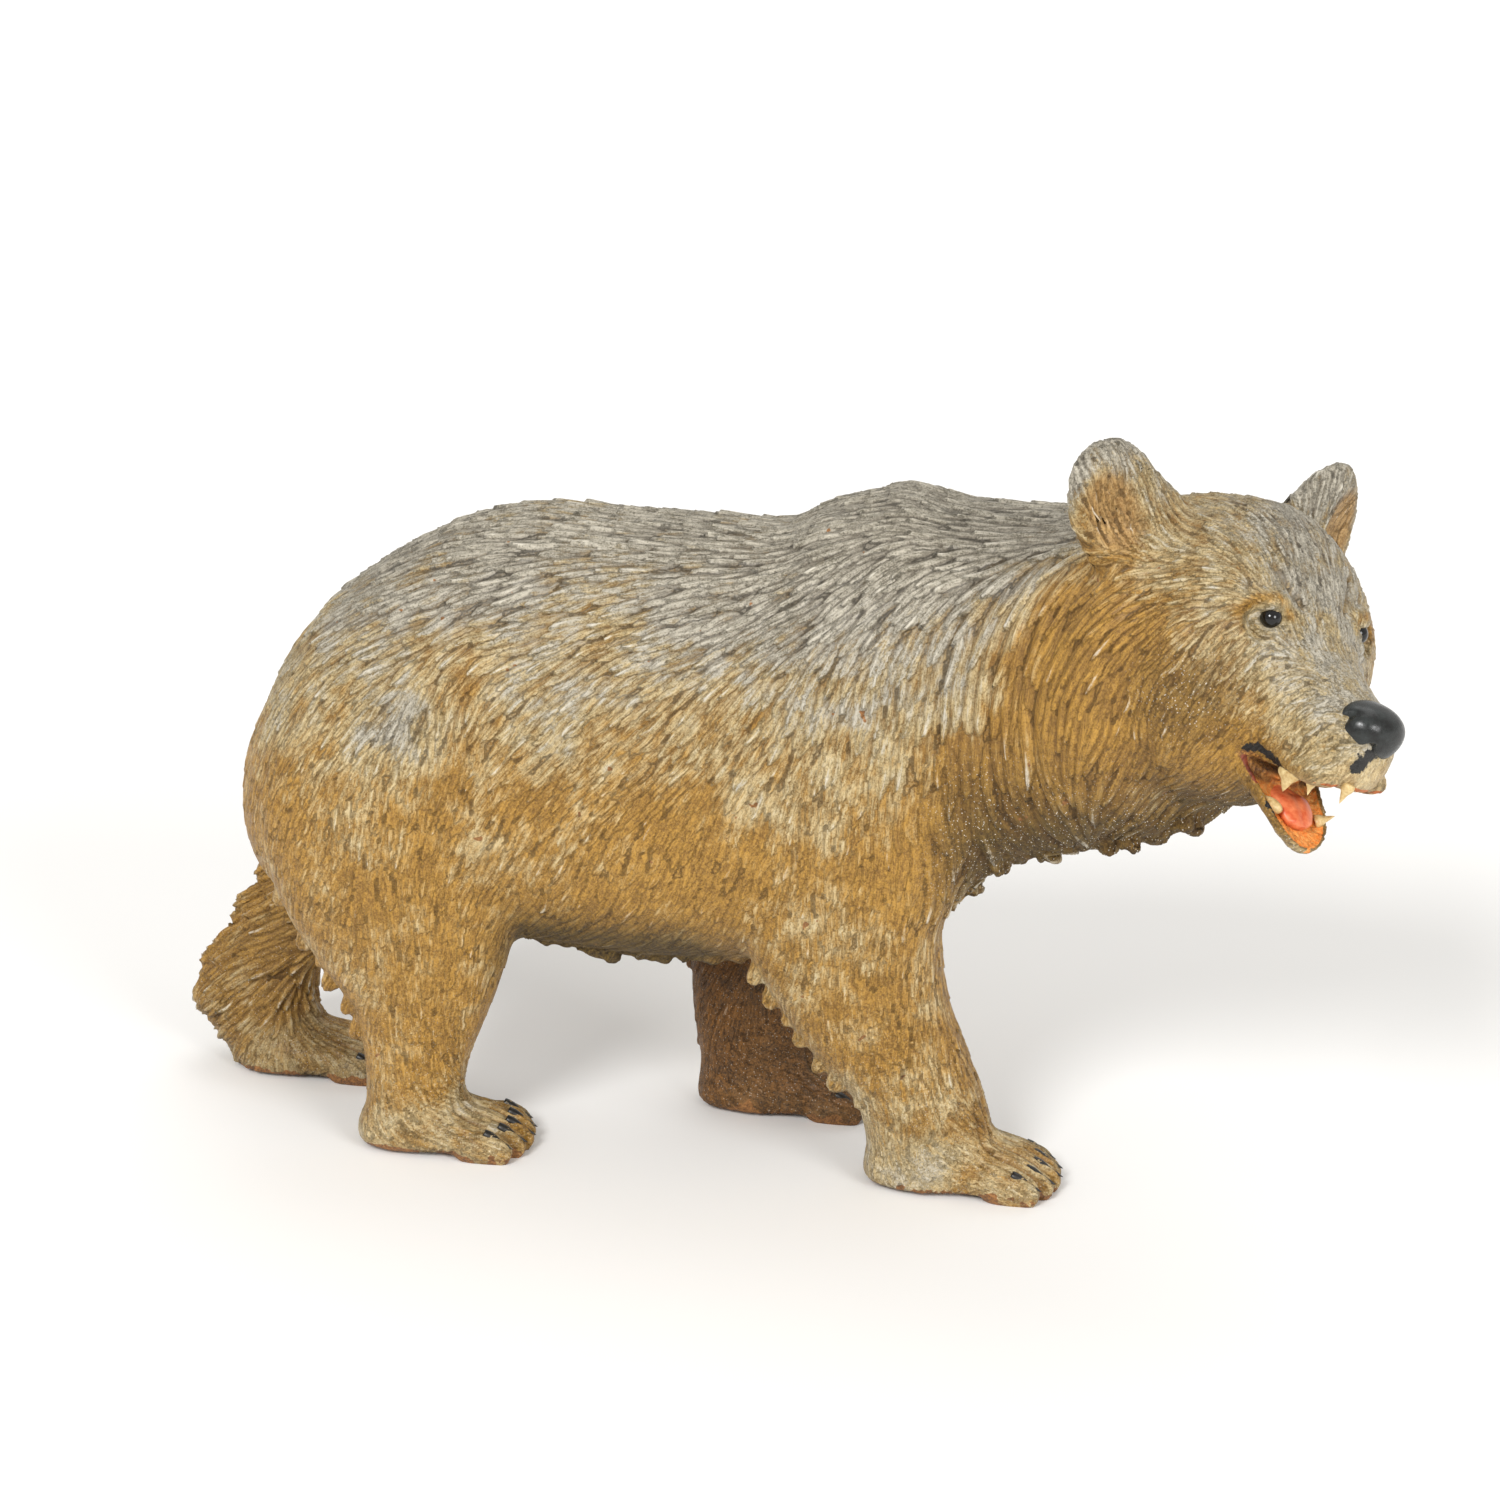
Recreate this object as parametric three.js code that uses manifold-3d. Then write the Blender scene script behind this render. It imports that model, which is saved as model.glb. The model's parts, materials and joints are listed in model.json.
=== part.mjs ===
// A walking bear carved from one block of lime wood, standing on its four paws.
// Its mouth is open, and two glass bead eyes sit in drilled sockets.
// X runs forward, Y to the bear's left and Z up, in millimetres.
// The origin is the middle of the footprint, on the ground.
import * as THREE from 'three';
import { mergeVertices } from 'three/addons/utils/BufferGeometryUtils.js';
import Module from 'manifold-3d';

const wasm = await Module();
wasm.setup();

// Driving sizes, in millimetres
const bodyLength = 420;
const eyeDiameter = 7;
const eyeClearance = 0.3;

// Pose, proportions and carving are shares of the length, counted in hundredths of it
const share = bodyLength / 100;
const furDepth = 0.34;
const faceFurDepth = 0.17;

// A frame's axes point forward along a form, left across it and up over it
function frameOf(forward, up) {
  const ahead = new THREE.Vector3(...forward).normalize();
  const left = new THREE.Vector3(...up).cross(ahead).normalize();
  const over = new THREE.Vector3().crossVectors(ahead, left);
  return new THREE.Quaternion().setFromRotationMatrix(new THREE.Matrix4().makeBasis(ahead, left, over));
}

const bodyFrame = frameOf([1, 0, 0], [0, 0, 1]);
const legFrame = frameOf([0, 0, -1], [1, 0, 0]);

// The head turns to the bear's right, nods a little and tilts; its zero is midway between the eyes
const headFrame = frameOf([0.754, -0.643, -0.133], [0.312, 0.172, 0.934]);
const headPlace = new THREE.Vector3(56.2, -12.2, 50.8);
const eyeSeat = { ahead: -0.15, out: 5.05, over: 0.5 };
const headMatrix = new THREE.Matrix4().compose(headPlace, headFrame, new THREE.Vector3(1, 1, 1));
const plainMatrix = new THREE.Matrix4();

// The dropped lower jaw has a frame of its own inside the head's
const jawFrame = frameOf([0.835, 0, -0.55], [0.55, 0, 0.835]);

// A closed geometry becomes a solid that can be joined and cut
function solidOf(geometry) {
  geometry.deleteAttribute('normal');
  geometry.deleteAttribute('uv');
  const merged = mergeVertices(geometry, share / 1000);
  const vertProperties = Float32Array.from(merged.attributes.position.array);
  const triVerts = Uint32Array.from(merged.index.array);
  return new wasm.Manifold(new wasm.Mesh({ numProp: 3, vertProperties, triVerts }));
}

function signedPower(value, power) {
  return Math.sign(value) * Math.abs(value) ** power;
}

// Locks of fur: a ridge on every second column swells towards its pointed tip and drops there.
// The next ridge starts half a lock further on, and the columns between the ridges are grooves.
function lockHeight(row, column) {
  const lockRows = 4;
  const groove = -0.5;
  const rise = 1.5;
  if (column % 2) {
    return groove;
  }
  const stagger = column % lockRows;
  return groove + (rise * ((row + stagger) % lockRows)) / (lockRows - 1);
}

// Carries a rounded section through stations of [x, y, z, half width, rise, drop].
// The section turns from one frame to another over the last part of the way.
// Fur has its tips towards the end of the loft, or towards its start where it is combed back.
function loft({ stations, rows, columns, frame = bodyFrame, endFrame = frame, turnFrom = 0, square = 2,
  fur = 0, combedBack = false, place = plainMatrix }) {
  const path = new THREE.CatmullRomCurve3(stations.map(([x, y, z]) => new THREE.Vector3(x, y, z)));
  const sizes = new THREE.CatmullRomCurve3(stations.map((s) => new THREE.Vector3(s[3], s[4], s[5])));
  const smoothEnd = rows / 5;
  const positions = [];
  for (let row = 0; row <= rows; row += 1) {
    const t = path.getUtoTmapping(row / rows);
    const size = sizes.getPoint(t);
    const turn = frame.clone().slerp(endFrame, THREE.MathUtils.smoothstep(t, turnFrom, 1));
    const fade = Math.min(1, Math.min(row, rows - row) / smoothEnd);
    for (let column = 0; column < columns; column += 1) {
      const angle = (2 * Math.PI * column) / columns;
      const mirrored = Math.min(column, columns - column);
      const relief = fur * fade * lockHeight(combedBack ? rows - row : row, mirrored);
      const across = size.x + relief;
      const over = (Math.cos(angle) > 0 ? size.y : size.z) + relief;
      const point = new THREE.Vector3(0, across * signedPower(Math.sin(angle), 2 / square),
        over * signedPower(Math.cos(angle), 2 / square));
      point.applyQuaternion(turn).add(path.getPoint(t)).applyMatrix4(place).multiplyScalar(share);
      positions.push(point.x, point.y, point.z);
    }
  }
  for (const t of [0, 1]) {
    const end = path.getPoint(t).applyMatrix4(place).multiplyScalar(share);
    positions.push(end.x, end.y, end.z);
  }
  return solidOf(skin(positions, rows, columns));
}

// Joins the rings of a loft into one closed skin with a fan at each end
function skin(positions, rows, columns) {
  const index = [];
  const first = (rows + 1) * columns;
  for (let column = 0; column < columns; column += 1) {
    const next = (column + 1) % columns;
    for (let row = 0; row < rows; row += 1) {
      const a = row * columns + column;
      const b = row * columns + next;
      index.push(a, a + columns, b, b, a + columns, b + columns);
    }
    index.push(first, column, next);
    index.push(first + 1, rows * columns + next, rows * columns + column);
  }
  const geometry = new THREE.BufferGeometry();
  geometry.setAttribute('position', new THREE.Float32BufferAttribute(positions, 3));
  geometry.setIndex(index);
  return geometry;
}

// An egg of three radii at a place, turned by a frame
function egg({ at, radii, frame = bodyFrame, place = plainMatrix, detail = 6 }) {
  const geometry = new THREE.SphereGeometry(1, detail + 2, detail);
  const matrix = new THREE.Matrix4().compose(new THREE.Vector3(...at), frame, new THREE.Vector3(...radii));
  geometry.applyMatrix4(matrix).applyMatrix4(place);
  geometry.scale(share, share, share);
  return solidOf(geometry);
}

// A pointed tuft, tooth or claw from its root towards its tip, flattened across the way named wide
function spike({ at, towards, length, radius, wide = [0, 1, 0], flatness = 1, place = plainMatrix }) {
  const sunk = 0.45;
  const geometry = new THREE.ConeGeometry(radius, length, 4);
  geometry.translate(0, length * (0.5 - sunk), 0);
  geometry.scale(1, 1, flatness);
  const way = new THREE.Vector3(...towards).normalize();
  const thin = new THREE.Vector3(...wide).cross(way).normalize();
  const broad = new THREE.Vector3().crossVectors(way, thin);
  geometry.applyMatrix4(new THREE.Matrix4().makeBasis(broad, way, thin).setPosition(...at));
  geometry.applyMatrix4(place);
  geometry.scale(share, share, share);
  return solidOf(geometry);
}

// A fringe of flat overlapping tufts along a line over the body, every other one longer
function tuftRow({ line, count, towards, length = 2.6, radius = 1.5 }) {
  const curve = new THREE.CatmullRomCurve3(line.map((point) => new THREE.Vector3(...point)));
  return curve.getSpacedPoints(count - 1).map((point, n) => spike({
    at: point.toArray(),
    towards,
    length: length * (n % 2 ? 1.2 : 0.9),
    radius,
    wide: curve.getTangentAt(n / (count - 1)).toArray(),
    flatness: 0.6,
  }));
}

function makeTrunk() {
  const stations = [
    [-31.6, 0, 28, 0.6, 0.6, 0.6],
    [-31, 0, 28, 5, 4.5, 4.5],
    [-29.4, 0, 28, 8.3, 8, 7],
    [-27.2, 0, 28.5, 10.5, 12, 9.5],
    [-24, 0, 29.5, 11.8, 15, 11.3],
    [-19, 0, 30.5, 12.6, 17.7, 12.5],
    [-13, 0, 31.5, 12.6, 20, 14],
    [-6, 0, 32, 12.6, 21.1, 15.2],
    [1, 0, 32, 12.9, 20.9, 15.6],
    [8, 0, 32.5, 13.2, 20.3, 15.9],
    [13, 0, 33, 13.4, 19.8, 16],
    [17, 0, 34, 13.4, 20.8, 16.5],
    [22, 0, 35.5, 13.2, 20.8, 16.7],
    [27, -0.2, 38, 12.8, 17.6, 16],
    [31, -0.8, 40, 12.6, 15.4, 14.1],
    [35.5, -2, 41.7, 12.6, 14.2, 13.8],
    [40, -3.8, 43.4, 12.6, 13.8, 14.2],
    [44.5, -6.2, 44.8, 12.9, 12.8, 14.2],
    [48.5, -9, 45.6, 11.9, 10.5, 12.8],
    [51.5, -11.2, 46, 7, 6, 8],
  ];
  return loft({ stations, rows: 26, columns: 36, endFrame: headFrame, turnFrom: 0.68, square: 2.2,
    fur: furDepth, combedBack: true });
}

function makeTail() {
  const stations = [
    [-28.6, 0, 33, 1.4, 1.2, 1.2],
    [-30.6, 0.2, 30, 1.8, 1.2, 1.2],
    [-31.2, 0.5, 26, 1.7, 0.9, 0.9],
    [-30.8, 0.8, 22.5, 1.2, 0.8, 0.8],
    [-30.2, 1, 20.4, 0.3, 0.3, 0.3],
  ];
  return loft({ stations, rows: 6, columns: 8, frame: legFrame });
}

// Each leg runs down from inside the trunk; rise points forward and drop back
const legs = {
  foreRight: [
    [17, -6.5, 42, 3, 5, 5],
    [18, -7.2, 38, 5.4, 9, 9],
    [18.6, -7.7, 32, 5.7, 10.6, 10.5],
    [19, -7.6, 26, 5.2, 9.6, 9.3],
    [19.4, -7.4, 22, 4.7, 7.9, 8.4],
    [21, -7, 16, 4.3, 7, 7.4],
    [23.2, -6.6, 11, 3.9, 6.5, 6.3],
    [25.6, -6.3, 7, 3.8, 5.4, 5.2],
    [26.4, -6.1, 4, 3.9, 5.2, 5.2],
    [26.6, -6, 1, 4, 5, 5],
    [26.6, -6, -1, 4, 5, 5],
  ],
  foreLeft: [
    [14, 6.5, 42, 3, 5, 5],
    [14, 7.2, 38, 5.4, 9, 9],
    [14, 7.7, 32, 5.7, 10.5, 10.5],
    [13.2, 7.4, 24, 4.9, 8.8, 8.8],
    [12, 7.1, 18, 4.4, 7.2, 7.4],
    [10.6, 6.8, 12.5, 4.1, 6.3, 6.6],
    [9.8, 6.6, 8, 3.9, 5.4, 5.6],
    [9.8, 6.4, 4, 3.8, 5, 5],
    [9.8, 6.4, 1, 3.9, 5, 5],
    [9.8, 6.4, -1, 3.9, 5, 5],
  ],
  hindRight: [
    [-18, -6.5, 41, 3.5, 5, 5],
    [-18.3, -7, 35, 5.2, 9, 9],
    [-18.4, -7.5, 29, 5.6, 11, 10.4],
    [-18.2, -7.6, 24, 5.1, 11, 9.8],
    [-17.5, -7.6, 20, 4.6, 10, 9.1],
    [-16.5, -7.5, 16, 4.1, 8, 7.7],
    [-15.7, -7.4, 12, 3.7, 5.7, 5.6],
    [-16, -7.3, 8, 3.4, 4.4, 4.4],
    [-16.3, -7.2, 4.5, 3.5, 4, 4],
    [-16.4, -7.2, 2, 3.8, 4.5, 4.2],
    [-16.4, -7.2, -1, 3.8, 4.5, 4.2],
  ],
  hindLeft: [
    [-19, 6.5, 38, 4, 7, 7],
    [-20, 7.3, 28, 5.4, 10.5, 10],
    [-21.8, 7.3, 22, 5, 10, 8.4],
    [-26, 7, 17, 4.4, 8.2, 6],
    [-30.2, 6.7, 13, 3.9, 6.2, 4.7],
    [-32.9, 6.4, 9.5, 3.6, 4.6, 4.8],
    [-33.8, 6.2, 6, 3.5, 4.8, 5.6],
    [-32.4, 6, 3, 3.6, 4.8, 5.4],
    [-31, 5.8, 1, 3.9, 5, 5],
    [-31, 5.8, -1, 3.9, 5, 5],
  ],
};

function makeLeg(stations) {
  return loft({ stations, rows: 11, columns: 12, frame: legFrame, square: 2.2, fur: furDepth });
}

// Heel of each paw on the ground, its length, the height of its instep and its yaw
const paws = {
  foreRight: { heel: [21.2, -5.8], length: 16.5, instep: 3.8, yaw: -0.03 },
  foreLeft: { heel: [4.7, 6.4], length: 16, instep: 3.8, yaw: 0 },
  hindRight: { heel: [-20.9, -7.2], length: 14.8, instep: 2.9, yaw: 0 },
  hindLeft: { heel: [-35.8, 5.8], length: 15.2, instep: 2.9, yaw: 0 },
};

// The toes fan out across a paw, and the outer ones end a little further back
const toes = { count: 5, spread: 3.2, reach: 0.86, setBack: 0.07 };

// A flat-soled paw of toes, each with a low claw lying along its top
function makePaw({ heel, length, instep, yaw }) {
  const place = new THREE.Matrix4().makeRotationZ(yaw).setPosition(heel[0], heel[1], 0);
  const low = 1.2;
  const stations = [
    [0, 0, low, 1.6, 1.2, 2],
    [0.08 * length, 0, low, 3.5, 2.6, 3],
    [0.3 * length, 0, low, 4, instep, 3],
    [0.55 * length, 0, low, 4, instep * 0.9, 3],
    [0.75 * length, 0, low, 4.1, instep * 0.65, 3],
    [0.86 * length, 0, low, 3.6, instep * 0.4, 3],
    [0.9 * length, 0, low, 2.2, 0.8, 2],
  ];
  const parts = [loft({ stations, rows: 6, columns: 12, square: 2.4, place })];
  for (let toe = 0; toe < toes.count; toe += 1) {
    const side = (2 * toe) / (toes.count - 1) - 1;
    const reach = length * (toes.reach - toes.setBack * side * side);
    const across = toes.spread * side;
    parts.push(egg({ at: [reach - 0.6, across, 0.9], radii: [2.6, 0.95, 1.75], place, detail: 4 }));
    parts.push(spike({ at: [reach + 0.4, across, 2.1], towards: [1, 0, -0.5], length: 2.8, radius: 0.5,
      place }));
  }
  return parts;
}

// Skull, cheeks and upper jaw, from the back of the head to the nose
function makeSkull() {
  const stations = [
    [-22, 0, -6.5, 4, 4, 5],
    [-18.5, 0, -6.5, 7.5, 9.5, 9],
    [-15, 0, -6.3, 9.8, 11.6, 10.5],
    [-11.5, 0, -6.2, 11.1, 12.9, 11],
    [-8, 0, -6, 11.4, 13.5, 11],
    [-4.5, 0, -5.2, 11.5, 11.8, 10.6],
    [-1.6, 0, -4.9, 10.6, 9.2, 10],
    [0.6, 0, -5, 7.6, 6.9, 8.4],
    [2, 0, -5.3, 5.7, 5.5, 5.8],
    [3.4, 0, -5.6, 5.1, 4.9, 5.3],
    [5.5, 0, -6, 4.4, 4.3, 4.2],
    [7.8, 0, -6.2, 3.5, 3.7, 3.5],
    [9.3, 0, -6.3, 2.9, 3.1, 3],
    [10.1, 0, -6.4, 1.4, 1.7, 1.9],
  ];
  return loft({ stations, rows: 15, columns: 20, square: 2.1, fur: faceFurDepth, combedBack: true,
    place: headMatrix });
}

// The hollow in front of each eye leaves the brow standing over it
function makeEyeHollow(side) {
  return egg({ at: [1.5, side * 6.6, 0.3], radii: [2.7, 1.6, 1.6], place: headMatrix });
}

function makeBrow(side) {
  return egg({ at: [-1.3, side * 4.6, 1.5], radii: [1.7, 2.1, 1.1], place: headMatrix, detail: 5 });
}

// The upper lips hang over the teeth at the sides and meet under the nose
function makeLips(side) {
  const flew = egg({ at: [6, side * 2.6, -8.3], radii: [3.7, 1.5, 1.4], place: headMatrix });
  const front = egg({ at: [7.6, side * 1.3, -7.2], radii: [2.2, 1.8, 1.9], place: headMatrix });
  return flew.add(front);
}

// The nose pad stands proud of the muzzle, with a nostril on each side
function makeNose() {
  const nostril = (side) => egg({ at: [8.4, side * 2.9, -4.1], radii: [0.7, 0.5, 0.6], place: headMatrix,
    detail: 4 });
  return egg({ at: [8.2, 0, -4.3], radii: [2.6, 2.9, 1.95], place: headMatrix })
    .subtract(nostril(1))
    .subtract(nostril(-1));
}

// The jaw's rims are level across it; it swings a little to the bear's right towards its tip
const jawStations = [
  [-1.84, 0, -7.6, 4, 0.5, 3.6],
  [-0.17, 0, -8.7, 4.5, 0.3, 3.6],
  [1.5, -0.2, -9.8, 4.4, 0.2, 3],
  [3.59, -0.4, -11.18, 3.8, 0.15, 2.2],
  [5.26, -0.5, -12.28, 3.45, 0.15, 1.75],
  [6.68, -0.8, -13.21, 2.85, 0.15, 1.5],
  [7.6, -1.1, -13.8, 2.1, 0.15, 1.2],
  [8.18, -1.3, -14.2, 1.3, 0.15, 0.9],
  [8.47, -1.4, -14.39, 0.4, 0.15, 0.4],
];

// A shallow trough inside the rims makes the floor of the mouth
function makeLowerJaw() {
  const rim = 0.45;
  const depth = 1;
  const trough = jawStations.slice(2, -1).map(([x, y, z, wide]) => [x, y, z, wide - rim, depth, depth]);
  return loft({ stations: jawStations, rows: 9, columns: 14, frame: jawFrame, place: headMatrix })
    .subtract(loft({ stations: trough, rows: 6, columns: 8, frame: jawFrame, square: 3, place: headMatrix }));
}

function makeTongue() {
  const stations = [
    [1.5, -0.3, -10.1, 2.2, 0.7, 1],
    [3.9, -0.45, -11.7, 2.1, 0.7, 1],
    [5.6, -0.6, -12.8, 1.9, 0.6, 0.9],
    [6.5, -0.75, -13.4, 1.4, 0.5, 0.7],
    [6.9, -0.8, -13.65, 0.5, 0.3, 0.4],
  ];
  return loft({ stations, rows: 5, columns: 8, frame: jawFrame, place: headMatrix });
}

// The open mouth is cut as a wedge whose lower side lies on the jaw's rims
function makeMouthGap() {
  const stations = [
    [1.5, 0, -9.75, 8, 0.08, 0.08],
    [4, 0, -10.5, 8, 0.95, 0.9],
    [8, 0, -11.6, 8, 2.4, 2.5],
    [12, 0, -12.7, 8, 3.9, 4],
  ];
  return loft({ stations, rows: 4, columns: 12, square: 3, place: headMatrix });
}

// The hollow of the palate leaves the upper lips standing as walls
function makePalate() {
  return egg({ at: [5, 0, -9.4], radii: [4.2, 2.7, 1.1], place: headMatrix });
}

// The teeth that are left: three hang from the near lip, one stands on the far rim, one is worn to a stump
function makeTeeth() {
  const pointed = [
    { at: [9.7, -1.5, -8.8], towards: [0, 0, -1], length: 2, radius: 0.8, flatness: 0.7 },
    { at: [7.3, -2.7, -9.75], towards: [0.1, 0, -1], length: 1.2, radius: 0.5 },
    { at: [5.5, -3.2, -10], towards: [0.25, 0, -1], length: 2.4, radius: 1.4, flatness: 0.4 },
    { at: [5.9, 2.1, -12.6], towards: [0.35, 0.65, 0.35], length: 2.1, radius: 0.7 },
  ];
  const stump = egg({ at: [5.1, -2.8, -12.75], radii: [1.3, 0.6, 0.75], place: headMatrix, detail: 4 });
  return [...pointed.map((tooth) => spike({ ...tooth, wide: [1, 0, 0], place: headMatrix })), stump];
}

// The left ear stands up more than the right one.
// Stations up an ear are [height, outward shift, half width, front, back].
const ears = {
  left: {
    side: 1,
    root: [-11.4, 9, 4],
    lean: [-0.1, 0.27, 0.96],
    lobe: [[-2.9, -0.4, 4.6, 2.4, 2.6], [0, 0, 4.9, 2.1, 2.3], [2.2, 0.1, 4.6, 1.7, 1.9],
      [5, 0.3, 3.2, 1.3, 1.5], [6.5, 0.1, 1.5, 0.9, 1], [7, 0, 0.6, 0.4, 0.4]],
    cup: { at: [2.3, 1.3, 2.2], radii: [3.7, 2.4, 2] },
  },
  right: {
    side: -1,
    root: [-11.9, -9.9, 2.9],
    lean: [-0.31, -0.51, 0.8],
    lobe: [[-2.7, -0.4, 4.6, 2.4, 2.6], [0, 0.2, 4.8, 2.1, 2.3], [2.1, 0.9, 4.4, 1.7, 1.9],
      [4.7, 1.2, 3.5, 1.4, 1.5], [6.1, 1.3, 2.6, 1.1, 1.2], [6.8, 1.2, 1.7, 0.6, 0.6],
      [7.1, 1.2, 0.6, 0.3, 0.3]],
    cup: { at: [1.8, 2.3, 2.1], radii: [3.6, 2.4, 2] },
  },
};

// Each ear is a broad lobe with a cup carved near its outer edge
function makeEar({ side, root, lean, lobe, cup }) {
  const frame = frameOf(lean, [0.94, 0.2 * side, 0.24]);
  const place = new THREE.Matrix4().compose(new THREE.Vector3(...root), frame, new THREE.Vector3(1, 1, 1))
    .premultiply(headMatrix);
  const outward = ([up, out, ahead]) => [up, -side * out, ahead];
  const stations = lobe.map(([up, out, ...size]) => [...outward([up, out, 0]), ...size]);
  return loft({ stations, rows: 7, columns: 12, place })
    .subtract(egg({ at: outward(cup.at), radii: cup.radii, place }));
}

// Tufts break the outline at the belly, throat, elbows and backs of the hind legs
function makeTufts() {
  const down = [-0.9, 0, -1];
  const back = [-1, -0.1, -0.9];
  return [
    ...tuftRow({ line: [[-6.5, -3.5, 17.8], [0, -3.5, 17.3], [6, -3.5, 17.3], [11, -3.5, 17.9]], count: 7,
      towards: down }),
    ...tuftRow({ line: [[-6.5, 3.5, 17.8], [0, 3.5, 17.3], [8, 3.5, 17.3]], count: 5, towards: down }),
    ...tuftRow({ line: [[28, -1, 23.4], [31.5, -2, 27], [37, -4.5, 29.4], [42, -7.5, 31.4],
      [45.5, -10, 33.4]], count: 8, towards: down }),
    ...tuftRow({ line: [[12.6, -8.4, 20], [15.2, -8, 15], [18.6, -7.6, 10.5], [21.4, -7, 7]], count: 5,
      towards: back }),
    ...tuftRow({ line: [[5.8, 6.6, 13.5], [5.2, 6.6, 9], [5.8, 6.4, 5]], count: 3, towards: back }),
    ...tuftRow({ line: [[-27, -8.2, 21], [-24, -8, 17], [-20.9, -7.6, 12.5]], count: 4, towards: back }),
    ...tuftRow({ line: [[-33.8, 7, 14], [-35.8, 6.4, 10], [-37.4, 6.2, 6.4]], count: 4, towards: back }),
  ];
}

// Eye beads and their sockets share one centre; the socket is wider by the clearance
function eyeCentre(side) {
  const { ahead, out, over } = eyeSeat;
  return new THREE.Vector3(ahead, side * out, over).applyMatrix4(headMatrix).multiplyScalar(share);
}

function eyeBall(side, radius) {
  const geometry = new THREE.SphereGeometry(radius, 12, 8);
  const { x, y, z } = eyeCentre(side);
  geometry.translate(x, y, z);
  return solidOf(geometry);
}

// Everything below the soles is cut off flat
function makeGround() {
  const depth = 4;
  const geometry = new THREE.BoxGeometry(3 * bodyLength, bodyLength, depth * share);
  geometry.translate(0, 0, (-depth * share) / 2);
  return solidOf(geometry);
}

// One solid from a list of touching solids
function joined(parts) {
  return parts.slice(1).reduce((whole, part) => whole.add(part), parts[0]);
}

// A solid's surface as a named mesh
function meshOf(name, solid, material) {
  const { numProp, vertProperties, triVerts } = solid.getMesh();
  const geometry = new THREE.BufferGeometry();
  geometry.setAttribute('position', new THREE.BufferAttribute(Float32Array.from(vertProperties), numProp));
  geometry.setIndex(new THREE.BufferAttribute(Uint32Array.from(triVerts), 1));
  geometry.computeVertexNormals();
  const mesh = new THREE.Mesh(geometry, material);
  mesh.name = name;
  return mesh;
}

const paint = new THREE.MeshStandardMaterial({ color: 0xae9a74, roughness: 0.6, metalness: 0 });
const glass = new THREE.MeshStandardMaterial({ color: 0x0c0b0a, roughness: 0.06, metalness: 0 });
const sides = { left: 1, right: -1 };

let head = joined([makeSkull().subtract(makeMouthGap()), makeLips(1), makeLips(-1)]).subtract(makePalate());
for (const side of Object.values(sides)) {
  head = head.subtract(makeEyeHollow(side)).add(makeBrow(side));
}
const parts = [makeTrunk(), makeTail(), head, makeNose(), makeLowerJaw(), makeTongue(), ...makeTeeth(),
  ...makeTufts()];
for (const name of Object.keys(legs)) {
  parts.push(makeLeg(legs[name]), ...makePaw(paws[name]));
}
parts.push(makeEar(ears.left), makeEar(ears.right));
let carving = joined(parts).subtract(makeGround());
for (const side of Object.values(sides)) {
  carving = carving.subtract(eyeBall(side, eyeDiameter / 2 + eyeClearance));
}

const bear = new THREE.Group();
bear.add(meshOf('bear_carving', carving, paint));
for (const [name, side] of Object.entries(sides)) {
  bear.add(meshOf(`eye_${name}`, eyeBall(side, eyeDiameter / 2), glass));
}

// The origin goes to the middle of the footprint, at the height of the soles
const box = new THREE.Box3().setFromObject(bear);
bear.position.set(-(box.min.x + box.max.x) / 2, -(box.min.y + box.max.y) / 2, -box.min.z);

export default bear;
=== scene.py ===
import json
import math

import bpy
import numpy as np
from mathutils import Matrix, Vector

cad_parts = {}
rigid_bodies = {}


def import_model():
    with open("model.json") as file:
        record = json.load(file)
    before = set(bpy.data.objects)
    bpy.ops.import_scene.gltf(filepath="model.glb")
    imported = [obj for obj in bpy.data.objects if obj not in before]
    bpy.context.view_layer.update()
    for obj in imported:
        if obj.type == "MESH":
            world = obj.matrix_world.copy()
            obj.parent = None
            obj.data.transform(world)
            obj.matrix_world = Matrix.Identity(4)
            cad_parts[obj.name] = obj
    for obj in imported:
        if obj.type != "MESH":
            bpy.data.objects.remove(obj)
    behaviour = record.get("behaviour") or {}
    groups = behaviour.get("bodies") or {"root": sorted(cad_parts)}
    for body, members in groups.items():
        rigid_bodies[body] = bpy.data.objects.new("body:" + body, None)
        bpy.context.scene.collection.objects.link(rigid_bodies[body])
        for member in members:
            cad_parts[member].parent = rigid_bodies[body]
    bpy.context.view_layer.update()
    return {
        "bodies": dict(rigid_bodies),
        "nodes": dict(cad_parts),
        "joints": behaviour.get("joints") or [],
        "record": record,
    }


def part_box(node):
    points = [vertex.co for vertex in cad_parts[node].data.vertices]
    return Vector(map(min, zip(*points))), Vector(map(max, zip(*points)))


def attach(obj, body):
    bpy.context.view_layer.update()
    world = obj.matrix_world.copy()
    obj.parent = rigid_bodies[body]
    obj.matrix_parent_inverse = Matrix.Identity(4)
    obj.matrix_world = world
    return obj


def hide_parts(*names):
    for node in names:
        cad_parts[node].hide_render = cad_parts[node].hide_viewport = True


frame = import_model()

# A walking bear carved from lime wood and painted, dressed piece by piece.
# Forms are counted in hundredths of the bear's length, x forward, y to its left and z up.
chance = np.random.default_rng(11)


def unit(v):
    return v / np.maximum(np.linalg.norm(v, axis=-1, keepdims=True), 1e-12)


# a frame's columns point forward along a form, left across it and up over it
def frameOf(forward, up):
    ahead = unit(np.array(forward, float))
    left = unit(np.cross(np.array(up, float), ahead))
    return np.stack([ahead, left, np.cross(ahead, left)], 1)


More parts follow.
